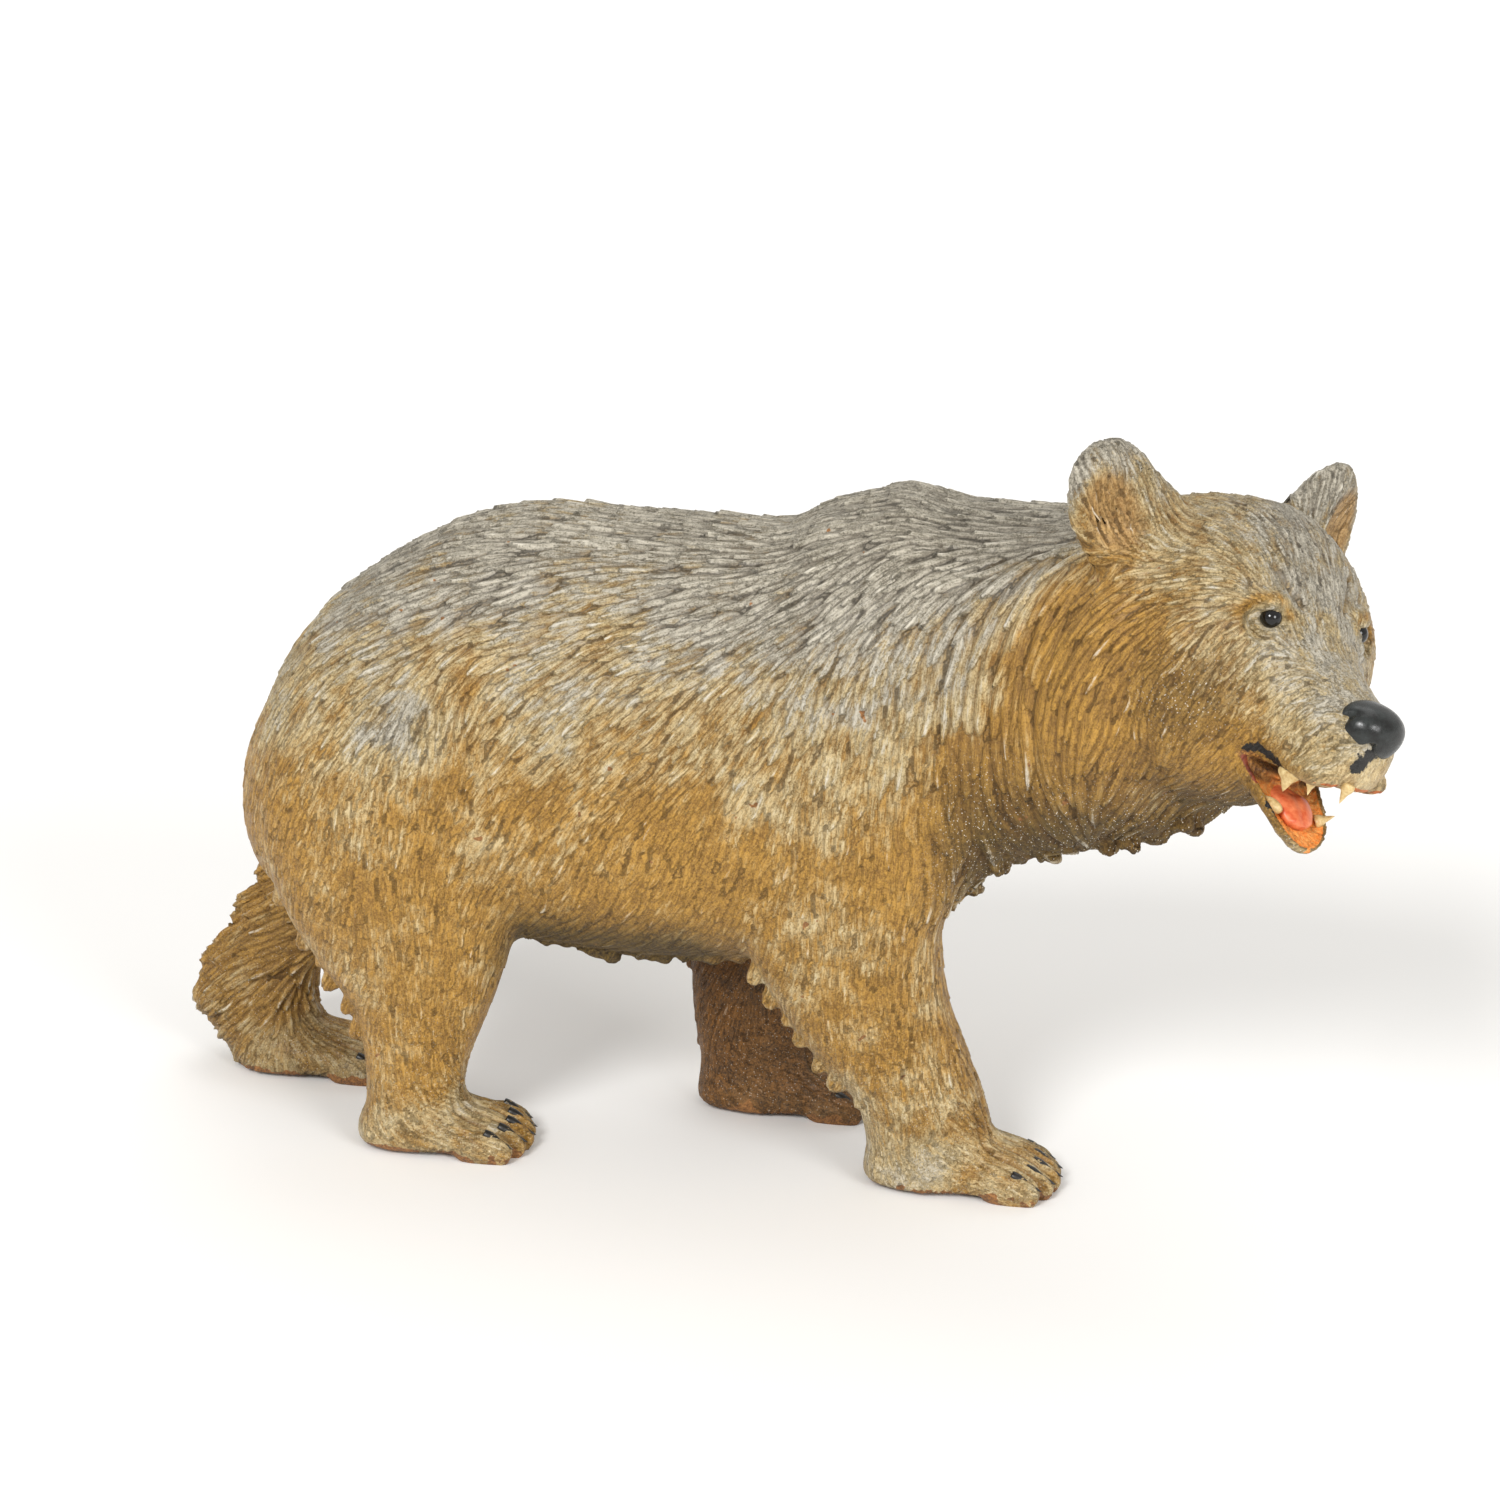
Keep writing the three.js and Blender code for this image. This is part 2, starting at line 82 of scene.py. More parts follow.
bodyFrame = frameOf([1, 0, 0], [0, 0, 1])
legFrame = frameOf([0, 0, -1], [1, 0, 0])
headFrame = frameOf([0.754, -0.643, -0.133], [0.312, 0.172, 0.934])
headAt = np.array([56.2, -12.2, 50.8])
eyeSeat = np.array([-0.15, 5.05, 0.5])         # middle of the left bead from the head's zero
eyeMiddle = {side: np.array(sum(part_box("eye_" + side), Vector())) / 2 for side in ("left", "right")}

# the two beads of the solid model give the size of one hundredth and where the forms lie
hundredth = np.linalg.norm(eyeMiddle["left"] - eyeMiddle["right"]) / (2 * eyeSeat[1])
shift = (eyeMiddle["left"] + eyeMiddle["right"]) / 2 - hundredth * (
    headAt + headFrame @ (eyeSeat * [1, 0, 1]))
mm = 0.001


def toRow(p):
    return np.asarray(p, float) * hundredth + shift


def toBody(v):
    return (v - shift) / hundredth


def toHead(v):
    return (toBody(v) - headAt) @ headFrame


# place = turn times point, plus where it stands, inside another place if one is given
def placer(turn=np.eye(3), at=(0, 0, 0), within=None):
    def place(p):
        q = np.asarray(p, float) @ np.array(turn).T + np.array(at)
        return within(q) if within else q
    return place


inBody = placer()
inHead = placer(headFrame, headAt)


# A form is a closed surface: its points, its corner list and the number of corners of each face.


# centripetal Catmull-Rom curve through the points, t from 0 to 1 over equal steps of the point number
def splineAt(points, t):
    p = np.array(points, float)
    q = np.vstack([2 * p[0] - p[1], p, 2 * p[-1] - p[-2]])
    pos = np.clip(t, 0, 1) * (len(p) - 1)
    i = np.minimum(pos.astype(int), len(p) - 2)
    w = (pos - i)[:, None]
    p0, p1, p2, p3 = q[i], q[i + 1], q[i + 2], q[i + 3]
    gap = lambda a, b: ((a - b) ** 2).sum(-1, keepdims=True) ** 0.25
    d1 = gap(p1, p2)
    d1 = np.where(d1 < 1e-4, 1, d1)
    d0, d2 = gap(p0, p1), gap(p2, p3)
    d0, d2 = np.where(d0 < 1e-4, d1, d0), np.where(d2 < 1e-4, d1, d2)
    m1 = d1 * ((p1 - p0) / d0 - (p2 - p0) / (d0 + d1) + (p2 - p1) / d1)
    m2 = d1 * ((p2 - p1) / d1 - (p3 - p1) / (d1 + d2) + (p3 - p2) / d2)
    return p1 + m1 * w + (3 * p2 - 3 * p1 - 2 * m1 - m2) * w ** 2 + (2 * p1 - 2 * p2 + m1 + m2) * w ** 3


# even steps along the curve's own length
def evenSteps(points, count):
    fine = np.linspace(0, 1, 500)
    run = np.r_[0, np.cumsum(np.linalg.norm(np.diff(splineAt(points, fine), axis=0), axis=1))]
    return np.interp(np.linspace(0, run[-1], count), run, fine)


def smoothStep(x, low=0.0, high=1.0):
    k = np.clip((x - low) / (high - low), 0, 1)
    return k * k * (3 - 2 * k)


# turns start towards end by the share t of the one turn between them (Rodrigues)
def turnBetween(start, end, t):
    rel = start.T @ end
    angle = math.acos(max(-1, min(1, (np.trace(rel) - 1) / 2)))
    if angle < 1e-6:
        return np.repeat(start[None], len(t), 0)
    axis = unit(np.array([rel[2, 1] - rel[1, 2], rel[0, 2] - rel[2, 0], rel[1, 0] - rel[0, 1]]))
    k = np.array([[0, -axis[2], axis[1]], [axis[2], 0, -axis[0]], [-axis[1], axis[0], 0]])
    a = (t * angle)[:, None, None]
    return start @ (np.eye(3) + np.sin(a) * k + (1 - np.cos(a)) * (k @ k))


# a closed skin over rings of points (rows, columns, 3), with a fan at each end
def skin(rings):
    rows, columns = rings.shape[:2]
    points = np.vstack([rings.reshape(-1, 3), rings[0].mean(0), rings[-1].mean(0)])
    c = np.arange(columns)
    n = (c + 1) % columns
    a = (np.arange(rows - 1)[:, None] * columns + c).ravel()
    b = (np.arange(rows - 1)[:, None] * columns + n).ravel()
    quads = np.stack([a, a + columns, b + columns, b], 1)
    first = np.stack([np.full(columns, rows * columns), c, n], 1)
    last = (rows - 1) * columns + np.stack([np.full(columns, columns + 1), n, c], 1)
    corners = np.r_[quads.ravel(), first.ravel(), last.ravel()]
    return points, corners, np.r_[np.full(len(quads), 4), np.full(2 * columns, 3)]


# a superellipse carried through stations [x, y, z, half width, rise, drop]:
# across = half width * sin^(2/square), over = rise or drop * cos^(2/square)
def loft(stations, rows=90, columns=64, frame=bodyFrame, endFrame=None, turnFrom=0.0, square=2.0,
         place=inBody):
    t = evenSteps([s[:3] for s in stations], rows)
    middle = splineAt([s[:3] for s in stations], t)
    size = splineAt([s[3:] for s in stations], t)
    turn = turnBetween(frame, frame if endFrame is None else endFrame, smoothStep(t, turnFrom, 1))
    angle = np.linspace(0, 2 * np.pi, columns, endpoint=False)
    bulge = lambda v: np.sign(v) * np.abs(v) ** (2 / square)
    over = np.where(np.cos(angle) > 0, size[:, 1:2], size[:, 2:3]) * bulge(np.cos(angle))
    across = size[:, :1] * bulge(np.sin(angle))
    local = np.stack([np.zeros_like(over), across, over], -1)
    rings = np.einsum("rij,rcj->rci", turn, local) + middle[:, None]
    return skin(place(rings.reshape(-1, 3)).reshape(rings.shape))


# an egg: a ball of three radii, its rings running round its own x axis
def egg(at, radii, rows=28, columns=36, frame=bodyFrame, place=inBody):
    lat = np.linspace(0, np.pi, rows + 2)[1:-1, None]
    lon = np.linspace(0, 2 * np.pi, columns, endpoint=False)
    ball = np.stack([-np.cos(lat) + 0 * lon, np.sin(lat) * np.sin(lon), np.sin(lat) * np.cos(lon)], -1)
    rings = (ball * np.array(radii)) @ frame.T + np.array(at)
    return skin(place(rings.reshape(-1, 3)).reshape(rings.shape))


# a tuft, tooth or claw, bent towards a way: radius = r * (1 - t)^taper * (rise over the first part)
def spike(at, towards, length, radius, wide=(0, 1, 0), flatness=1.0, bend=(0, 0, 0), taper=0.8, sunk=0.35,
          rows=14, columns=12, place=inBody):
    way = unit(np.array(towards, float))
    thin = unit(np.cross(np.array(wide, float), way))
    broad = np.cross(way, thin)
    t = np.linspace(0, 1, rows)[:, None]
    angle = np.linspace(0, 2 * np.pi, columns, endpoint=False)
    r = radius * np.maximum((1 - t) ** taper * (0.75 + 0.25 * np.sin(np.pi * np.minimum(t * 2, 1))), 0.02)
    middle = np.array(at) + (t - sunk) * length * way + t ** 2 * length * np.array(bend)
    across, over = r * np.cos(angle), r * np.sin(angle) * flatness
    rings = middle[:, None] + across[..., None] * broad + over[..., None] * thin
    return skin(place(rings.reshape(-1, 3)).reshape(rings.shape))


def joinForms(forms):
    points, corners, totals, base = [], [], [], 0
    for p, c, n in forms:
        points.append(p)
        corners.append(c + base)
        totals.append(n)
        base += len(p)
    return np.vstack(points), np.concatenate(corners), np.concatenate(totals)


def meshOf(name, form, smooth=True):
    points, corners, totals = form
    mesh = bpy.data.meshes.new(name)
    mesh.vertices.add(len(points))
    mesh.vertices.foreach_set("co", toRow(points).astype(np.float32).ravel())
    mesh.loops.add(len(corners))
    mesh.loops.foreach_set("vertex_index", corners.astype(np.int32))
    mesh.polygons.add(len(totals))
    mesh.polygons.foreach_set("loop_start", np.r_[0, np.cumsum(totals)[:-1]].astype(np.int32))
    mesh.polygons.foreach_set("use_smooth", np.ones(len(totals), bool) & smooth)
    mesh.update(calc_edges=True)
    return mesh


def formOf(mesh):
    points = np.zeros(len(mesh.vertices) * 3, np.float32)
    mesh.vertices.foreach_get("co", points)
    corners = np.zeros(len(mesh.loops), np.int32)
    mesh.loops.foreach_get("vertex_index", corners)
    totals = np.zeros(len(mesh.polygons), np.int32)
    mesh.polygons.foreach_get("loop_total", totals)
    return toBody(points.reshape(-1, 3).astype(float)), corners, totals


def objectOf(name, mesh):
    made = bpy.data.objects.new(name, mesh)
    bpy.context.scene.collection.objects.link(made)
    return made


# runs one modifier on a mesh and gives the finished mesh back
def applied(mesh, kind, **settings):
    holder = objectOf("holder", mesh)
    modifier = holder.modifiers.new("work", kind)
    for key, value in settings.items():
        setattr(modifier, key, value)
    bpy.context.view_layer.update()
    made = bpy.data.meshes.new_from_object(holder.evaluated_get(bpy.context.evaluated_depsgraph_get()))
    bpy.data.objects.remove(holder)
    return made


def cutAway(form, cutters):
    cutter = objectOf("cutter", meshOf("cutter", joinForms(cutters)))
    cutter.hide_render = True
    made = applied(meshOf("cut", form), "BOOLEAN", operation="DIFFERENCE", solver="MANIFOLD", object=cutter)
    bpy.data.objects.remove(cutter)
    return formOf(made)


# the carved wood's forms, as in the solid model but round and fine
trunk = {"square": 2.2, "turnFrom": 0.68, "stations": [
    [-31.6, 0, 28, 0.6, 0.6, 0.6], [-31, 0, 28, 5, 4.5, 4.5], [-29.4, 0, 28, 8.3, 8, 7],
    [-27.2, 0, 28.5, 10.5, 12, 9.5], [-24, 0, 29.5, 11.8, 15, 11.3], [-19, 0, 30.5, 12.6, 17.7, 12.5],
    [-13, 0, 31.5, 12.6, 20, 14], [-6, 0, 32, 12.6, 21.1, 15.2], [1, 0, 32, 12.9, 20.9, 15.6],
    [8, 0, 32.5, 13.2, 20.3, 15.9], [13, 0, 33, 13.4, 19.8, 16], [17, 0, 34, 13.4, 20.8, 16.5],
    [22, 0, 35.5, 13.2, 20.8, 16.7], [27, -0.2, 38, 12.8, 17.6, 16], [31, -0.8, 40, 12.6, 15.4, 14.1],
    [35.5, -2, 41.7, 12.6, 14.2, 13.8], [40, -3.8, 43.4, 12.6, 13.8, 14.2],
    [44.5, -6.2, 44.8, 12.9, 12.8, 14.2], [48.5, -9, 45.6, 11.9, 10.5, 12.8], [51.5, -11.2, 46, 7, 6, 8]]}

tail = [[-28.6, 0, 33, 1.4, 1.2, 1.2], [-30.6, 0.2, 30, 1.8, 1.2, 1.2], [-31.2, 0.5, 26, 1.7, 0.9, 0.9],
        [-30.8, 0.8, 22.5, 1.2, 0.8, 0.8], [-30.2, 1, 20.4, 0.3, 0.3, 0.3]]

legs = {
    "foreRight": [[17, -6.5, 42, 3, 5, 5], [18, -7.2, 38, 5.4, 9, 9], [18.6, -7.7, 32, 5.7, 10.6, 10.5],
                  [19, -7.6, 26, 5.2, 9.6, 9.3], [19.4, -7.4, 22, 4.7, 7.9, 8.4], [21, -7, 16, 4.3, 7, 7.4],
                  [23.2, -6.6, 11, 3.9, 6.5, 6.3], [25.6, -6.3, 7, 3.8, 5.4, 5.2],
                  [26.4, -6.1, 4, 3.9, 5.2, 5.2], [26.6, -6, 1, 4, 5, 5], [26.6, -6, 0.3, 4, 5, 5]],
    "foreLeft": [[14, 6.5, 42, 3, 5, 5], [14, 7.2, 38, 5.4, 9, 9], [14, 7.7, 32, 5.7, 10.5, 10.5],
                 [13.2, 7.4, 24, 4.9, 8.8, 8.8], [12, 7.1, 18, 4.4, 7.2, 7.4],
                 [10.6, 6.8, 12.5, 4.1, 6.3, 6.6], [9.8, 6.6, 8, 3.9, 5.4, 5.6], [9.8, 6.4, 4, 3.8, 5, 5],
                 [9.8, 6.4, 1, 3.9, 5, 5], [9.8, 6.4, 0.3, 3.9, 5, 5]],
    "hindRight": [[-18, -6.5, 41, 3.5, 5, 5], [-18.3, -7, 35, 5.2, 9, 9], [-18.4, -7.5, 29, 5.6, 11, 10.4],
                  [-18.2, -7.6, 24, 5.1, 11, 9.8], [-17.5, -7.6, 20, 4.6, 10, 9.1],
                  [-16.5, -7.5, 16, 4.1, 8, 7.7], [-15.7, -7.4, 12, 3.7, 5.7, 5.6],
                  [-16, -7.3, 8, 3.4, 4.4, 4.4], [-16.3, -7.2, 4.5, 3.5, 4, 4],
                  [-16.4, -7.2, 2, 3.8, 4.5, 4.2], [-16.4, -7.2, 0.3, 3.8, 4.5, 4.2]],
    "hindLeft": [[-19, 6.5, 38, 4, 7, 7], [-20, 7.3, 28, 5.4, 10.5, 10], [-21.8, 7.3, 22, 5, 10, 8.4],
                 [-26, 7, 17, 4.4, 8.2, 6], [-30.2, 6.7, 13, 3.9, 6.2, 4.7],
                 [-32.9, 6.4, 9.5, 3.6, 4.6, 4.8], [-33.8, 6.2, 6, 3.5, 4.8, 5.6],
                 [-32.4, 6, 3, 3.6, 4.8, 5.4], [-31, 5.8, 1, 3.9, 5, 5], [-31, 5.8, 0.3, 3.9, 5, 5]],
}

paws = {
    "foreRight": {"heel": [21.2, -5.8], "length": 16.5, "instep": 3.8, "yaw": -0.03},
    "foreLeft": {"heel": [4.7, 6.4], "length": 16, "instep": 3.8, "yaw": 0},
    "hindRight": {"heel": [-20.9, -7.2], "length": 14.8, "instep": 2.9, "yaw": 0},
    "hindLeft": {"heel": [-35.8, 5.8], "length": 15.2, "instep": 2.9, "yaw": 0},
}

skull = [[-22, 0, -6.5, 4, 4, 5], [-18.5, 0, -6.5, 7.5, 9.5, 9], [-15, 0, -6.3, 9.8, 11.6, 10.5],
         [-11.5, 0, -6.2, 11.1, 12.9, 11], [-8, 0, -6, 11.4, 13.5, 11], [-4.5, 0, -5.2, 11.5, 11.8, 10.6],
         [-1.6, 0, -4.9, 10.6, 9.2, 10], [0.6, 0, -5, 7.6, 6.9, 8.4], [2, 0, -5.3, 5.7, 5.5, 5.8],
         [3.4, 0, -5.6, 5.1, 4.9, 5.3], [5.5, 0, -6, 4.4, 4.3, 4.2], [7.8, 0, -6.2, 3.5, 3.7, 3.5],
         [9.3, 0, -6.3, 2.9, 3.1, 3], [10.1, 0, -6.4, 1.4, 1.7, 1.9]]

# what is cut from the head and what is added to it, as [place], [radii], on both sides; the places of mouth
# and eyes are crisp, so they keep their creases
faceForms = {"hollow": [[1.5, 6.6, 0.3], [2.7, 1.6, 1.6]], "brow": [[-1.3, 4.6, 1.5], [1.7, 2.1, 1.1]],
             "flew": [[6, 2.6, -8.3], [3.7, 1.5, 1.4]], "lip": [[7.6, 1.3, -7.2], [2.2, 1.8, 1.9]],
             "palate": [[5, 0, -9.4], [4.2, 2.7, 1.1]], "socketClearance": -0.12,
             "crisp": [[[6, 0, -9.5], [8, 8, 7]], [[-0.2, 5, 0.4], [2.2, 2.2, 2.2]],
                       [[-0.2, -5, 0.4], [2.2, 2.2, 2.2]]]}

# the jaw's rims are level across it; it swings a little to the bear's right towards its tip
jaw = {"rim": 0.4, "depth": 0.65, "stations": [
    [-1.84, 0, -7.6, 4, 0.5, 3.6], [-0.17, 0, -8.7, 4.5, 0.3, 3.6], [1.5, -0.2, -9.8, 4.4, 0.2, 3],
    [3.59, -0.4, -11.18, 3.8, 0.15, 2.2], [5.26, -0.5, -12.28, 3.45, 0.15, 1.75],
    [6.68, -0.8, -13.21, 2.85, 0.15, 1.5], [7.6, -1.1, -13.8, 2.1, 0.15, 1.2],
    [8.18, -1.3, -14.2, 1.3, 0.15, 0.9], [8.47, -1.4, -14.39, 0.4, 0.15, 0.4]]}
jawFrame = frameOf([0.835, 0, -0.55], [0.55, 0, 0.835])

mouthGap = [[1.5, 0, -9.75, 8, 0.08, 0.08], [4, 0, -10.5, 8, 0.95, 0.9], [8, 0, -11.6, 8, 2.4, 2.5],
            [12, 0, -12.7, 8, 3.9, 4]]

# stations up an ear: height, outward shift, half width, front, back
ears = {
    "left": {"side": 1, "root": [-11.4, 9, 4], "lean": [-0.1, 0.27, 0.96],
             "cup": [[2.3, 1.3, 2.2], [3.7, 2.4, 2]],
             "lobe": [[-2.9, -0.4, 4.6, 2.4, 2.6], [0, 0, 4.9, 2.1, 2.3], [2.2, 0.1, 4.6, 1.7, 1.9],
                      [5, 0.3, 3.2, 1.3, 1.5], [6.5, 0.1, 1.5, 0.9, 1], [7, 0, 0.6, 0.4, 0.4]]},
    "right": {"side": -1, "root": [-11.9, -9.9, 2.9], "lean": [-0.31, -0.51, 0.8],
              "cup": [[1.8, 2.3, 2.1], [3.6, 2.4, 2]],
              "lobe": [[-2.7, -0.4, 4.6, 2.4, 2.6], [0, 0.2, 4.8, 2.1, 2.3], [2.1, 0.9, 4.4, 1.7, 1.9],
                       [4.7, 1.2, 3.5, 1.4, 1.5], [6.1, 1.3, 2.6, 1.1, 1.2], [6.8, 1.2, 1.7, 0.6, 0.6],
                       [7.1, 1.2, 0.6, 0.3, 0.3]]},
}

# each paw's toes: places from side to side, how far apart and ahead, and the egg at the end of each
toes = {"sides": np.linspace(-1, 1, 5), "spread": 3.2, "reach": 0.86, "setBack": 0.07,
        "back": 0.6, "over": 0.9, "radii": [2.6, 0.95, 1.75]}


def pawPlace(paw):
    c, s = math.cos(paw["yaw"]), math.sin(paw["yaw"])
    return placer(np.array([[c, -s, 0], [s, c, 0], [0, 0, 1]]), [*paw["heel"], 0])


def pawForm(paw):
    length, instep, place = paw["length"], paw["instep"], pawPlace(paw)
    profile = [[0, 1.6, 1.2, 1], [0.08, 3.5, 2.6, 1.2], [0.3, 4, instep, 1.2], [0.55, 4, instep * 0.9, 1.2],
               [0.75, 4.1, instep * 0.65, 1.2], [0.86, 3.6, instep * 0.4, 1.2], [0.9, 2.2, 0.8, 1]]
    return loft([[share * length, 0, 1.2, *size] for share, *size in profile], square=2.4, place=place)


def toeReach(paw, side):
    return paw["length"] * (toes["reach"] - toes["setBack"] * side * side)


def toeForms(paw):
    ats = [[toeReach(paw, side) - toes["back"], toes["spread"] * side, toes["over"]]
           for side in toes["sides"]]
    return [egg(at, toes["radii"], place=pawPlace(paw)) for at in ats]


def earPlace(ear):
    return placer(frameOf(ear["lean"], [0.94, 0.2 * ear["side"], 0.24]), ear["root"], within=inHead)


def earForm(ear):
    outer, place = -ear["side"], earPlace(ear)
    stations = [[up, outer * out, 0, *size] for up, out, *size in ear["lobe"]]
    cup = egg(np.array(ear["cup"][0]) * [1, outer, 1], ear["cup"][1], place=place)
    return cutAway(loft(stations, rows=52, columns=52, place=place), [cup])


# fringes of low blunt scallops on the belly, throat, elbow and backs of the legs: a line, how many, which way
# they point and how big they are
fringes = [
    [[[-7, -4.5, 18.2], [0, -4.5, 17.5], [6, -4.5, 17.5], [11, -4.5, 18]], 10, [-1, 0, -0.3], 1],
    [[[-7, 0, 17.6], [0, 0, 17], [8, 0, 17]], 8, [-1, 0, -0.25], 1],
    [[[-6.5, 4.5, 18.2], [0, 4.5, 17.5], [8, 4.5, 17.5]], 9, [-1, 0, -0.3], 1],
    [[[26.5, -1, 23], [30, -1.4, 26], [33.5, -2.6, 28.3], [38, -4.8, 30.1], [43, -8, 31.9],
      [46.5, -10.6, 33.9]], 12, [-1, 0.4, -0.3], 0.85],
    [[[27, -5.5, 24.8], [31.5, -6, 28], [37, -8, 30.6], [42, -10.4, 32.4]], 8, [-0.8, 0.3, -0.6], 0.85],
    [[[11.8, -8, 20.2], [13.8, -8, 16.6], [16, -8, 13.2], [18.7, -8, 10.3], [21.1, -8, 7.4]],
     8, [-0.75, -0.1, -1], 1.3],
    [[[4.9, 6.5, 14.5], [4.7, 6.5, 9.5], [5, 6.5, 5.6]], 5, [-1, 0, -0.9], 1.3],
    [[[-27.5, -8, 23.4], [-25.4, -8, 19.4], [-23.7, -8, 16.3], [-21.9, -8, 13.1], [-20.6, -8, 10.4]],
     8, [-0.7, -0.1, -1], 1.1],
    [[[-31.8, 6.5, 17.6], [-33.4, 6.5, 14.6], [-35, 6.5, 11.8], [-36.7, 6.5, 9.3]], 4, [-1, 0, -0.6], 2],
]
# each scallop: length and radius in hundredths, and by how much its place and its way are shaken
scallop = {"length": 2.1, "radius": 1.6, "shaken": 0.25, "turned": 0.1}


def fringeForms():
    forms = []
    for line, count, towards, big in fringes:
        t = evenSteps(line, count)
        spots = splineAt(line, t)
        along = unit(splineAt(line, np.minimum(t + 0.01, 1)) - splineAt(line, np.maximum(t - 0.01, 0)))
        for n, spot in enumerate(spots):
            longer = big * (0.75 + 0.25 * (n % 2) + 0.5 * chance.random())
            at = spot + chance.normal(0, scallop["shaken"], 3)
            way = np.array(towards) + chance.normal(0, scallop["turned"], 3)
            radius = (scallop["radius"] + 0.3 * chance.random()) * big ** 0.5
            forms.append(spike(at, way, scallop["length"] * longer, radius, wide=along[n], flatness=0.55,
                               bend=[-0.04, 0, -0.05], taper=0.42, sunk=0.6))
    return forms


# Working on the fine skin as whole arrays.
def skinArrays(mesh):
    co = np.zeros(len(mesh.vertices) * 3, np.float32)
    mesh.vertices.foreach_get("co", co)
    edges = np.zeros(len(mesh.edges) * 2, np.int32)
    mesh.edges.foreach_get("vertices", edges)
    corners = np.zeros(len(mesh.loops), np.int32)
    mesh.loops.foreach_get("vertex_index", corners)
    return co.reshape(-1, 3).astype(float), edges.reshape(-1, 2), corners


def spread(index, values, count):
    return np.stack([np.bincount(index, values[:, k], count) for k in range(3)], 1)


# mean of the neighbours of every point
def neighbourMean(co, edges):
    total = spread(edges[:, 0], co[edges[:, 1]], len(co)) + spread(edges[:, 1], co[edges[:, 0]], len(co))
    return total / np.maximum(np.bincount(edges.ravel(), minlength=len(co)), 1)[:, None]


# area-weighted normals of an all-quad skin from the cross product of each face's diagonals
def normalsOf(co, corners):
    q = corners.reshape(-1, 4)
    n = np.cross(co[q[:, 2]] - co[q[:, 0]], co[q[:, 3]] - co[q[:, 1]])
    return unit(sum(spread(q[:, k], n, len(co)) for k in range(4)))


# fills valleys: a point below its neighbours' mean rises along its normal by part of the gap
def fillCreases(co, edges, corners, mask, rounds):
    for step in range(rounds):
        if step % 6 == 0:
            normals = normalsOf(co, corners)
        gap = ((neighbourMean(co, edges) - co) * normals).sum(1)
        co = co + normals * (np.maximum(gap, 0) * 0.85 * mask)[:, None]
    return co


def relax(co, edges, mask, rounds, share=0.5):
    for _ in range(rounds):
        co = co + (neighbourMean(co, edges) - co) * (share * mask)[:, None]
    return co


# weight of a soft ball of three radii: (1 - r^2)^2 inside it, nothing outside
def ball(local, at, radii):
    r2 = (((local - np.array(at)) / np.array(radii)) ** 2).sum(1)
    return np.clip(1 - r2, 0, None) ** 2


# distance from every point to a line drawn through stations
def distanceTo(p, line):
    best = np.full(len(p), 1e9)
    for a, b in zip(np.array(line[:-1], float), np.array(line[1:], float)):
        t = np.clip((p - a) @ (b - a) / ((b - a) @ (b - a)), 0, 1)
        best = np.minimum(best, np.linalg.norm(p - a - t[:, None] * (b - a), axis=1))
    return best


# bell curve of a distance: exp(-(d / width)^2)
def bell(d, width):
    return np.exp(-(d / width) ** 2)


# guides for the locks: place, way, and there the locks' length, width and height in mm
bodyGuides = [
    [-26, 0, 44, -0.8, 0, -0.6, 11, 3, 0.8], [-18, 0, 48, -1, 0, -0.15, 12, 3, 0.8],
    [-8, 0, 53, -1, 0, 0, 12, 3, 0.8], [2, 0, 53, -1, 0, 0, 12, 3, 0.8],
    [12, 0, 53, -1, 0, -0.05, 11, 3, 0.75], [22, 0, 56.5, -0.9, 0, -0.1, 8, 2.6, 0.6],
    [28, 0, 55.5, -1, 0, 0.2, 10, 2.8, 0.7], [36, -2, 56, -1, 0.2, 0, 13, 3.2, 0.8],
    [44, -6, 57, -1, 0.4, 0, 13, 3.2, 0.8], [-18, 10, 44, -0.85, 0, -0.5, 11, 3, 0.8],
    [-6, 11, 47, -0.9, 0, -0.4, 11, 3, 0.8], [6, 11, 47, -0.9, 0, -0.4, 11, 3, 0.8],
    [14, 11, 48, -0.8, 0, -0.6, 10, 2.9, 0.75], [22, 11, 51, -0.6, 0, -0.8, 9, 2.7, 0.7],
    [-29, 7, 36, -0.2, 0, -1, 9, 2.6, 0.7], [-26, 10, 38, -0.4, 0, -0.9, 9, 2.7, 0.75],
    [-20, 12, 38, -0.55, 0, -0.8, 9, 2.7, 0.7], [-12, 12.5, 38, -0.2, 0, -1, 11, 3, 0.8],
    [-5, 12.6, 38, -0.68, 0, -0.72, 10, 3, 0.8], [4, 12.9, 38, -0.68, 0, -0.72, 10, 3, 0.8],
    [12, 13.2, 40, -0.5, 0, -0.86, 10, 2.8, 0.8], [18, 13.4, 42, -0.3, 0, -0.95, 10, 2.8, 0.85],
    [25, 13, 43, -0.15, 0, -1, 11, 2.9, 0.9], [32, 12.5, 44, 0.05, 0, -1, 24, 5.2, 1.2],
    [38, 12.5, 42, 0.3, 0, -1, 26, 5.6, 1.3], [-5, 11.5, 26, -0.45, 0, -0.9, 11, 3.2, 0.95],
    [5, 11.8, 26, -0.45, 0, -0.9, 11, 3.2, 0.95], [12, 12, 28, -0.35, 0, -0.93, 11, 3, 0.9],
    [28, 10, 32, 0.1, 0, -1, 20, 5, 1.3], [36, 9, 33, 0.4, 0, -1, 22, 5.4, 1.3],
    [0, 5, 17, -0.7, 0, -0.7, 14, 4.2, 1.5], [22, 4, 25, -0.3, 0, -1, 12, 3.6, 1.2],
    [-18, 12.5, 30, -0.15, 0, -1, 8, 2.5, 0.65], [19, 13, 32, -0.15, 0, -1, 8.5, 2.6, 0.65]
]
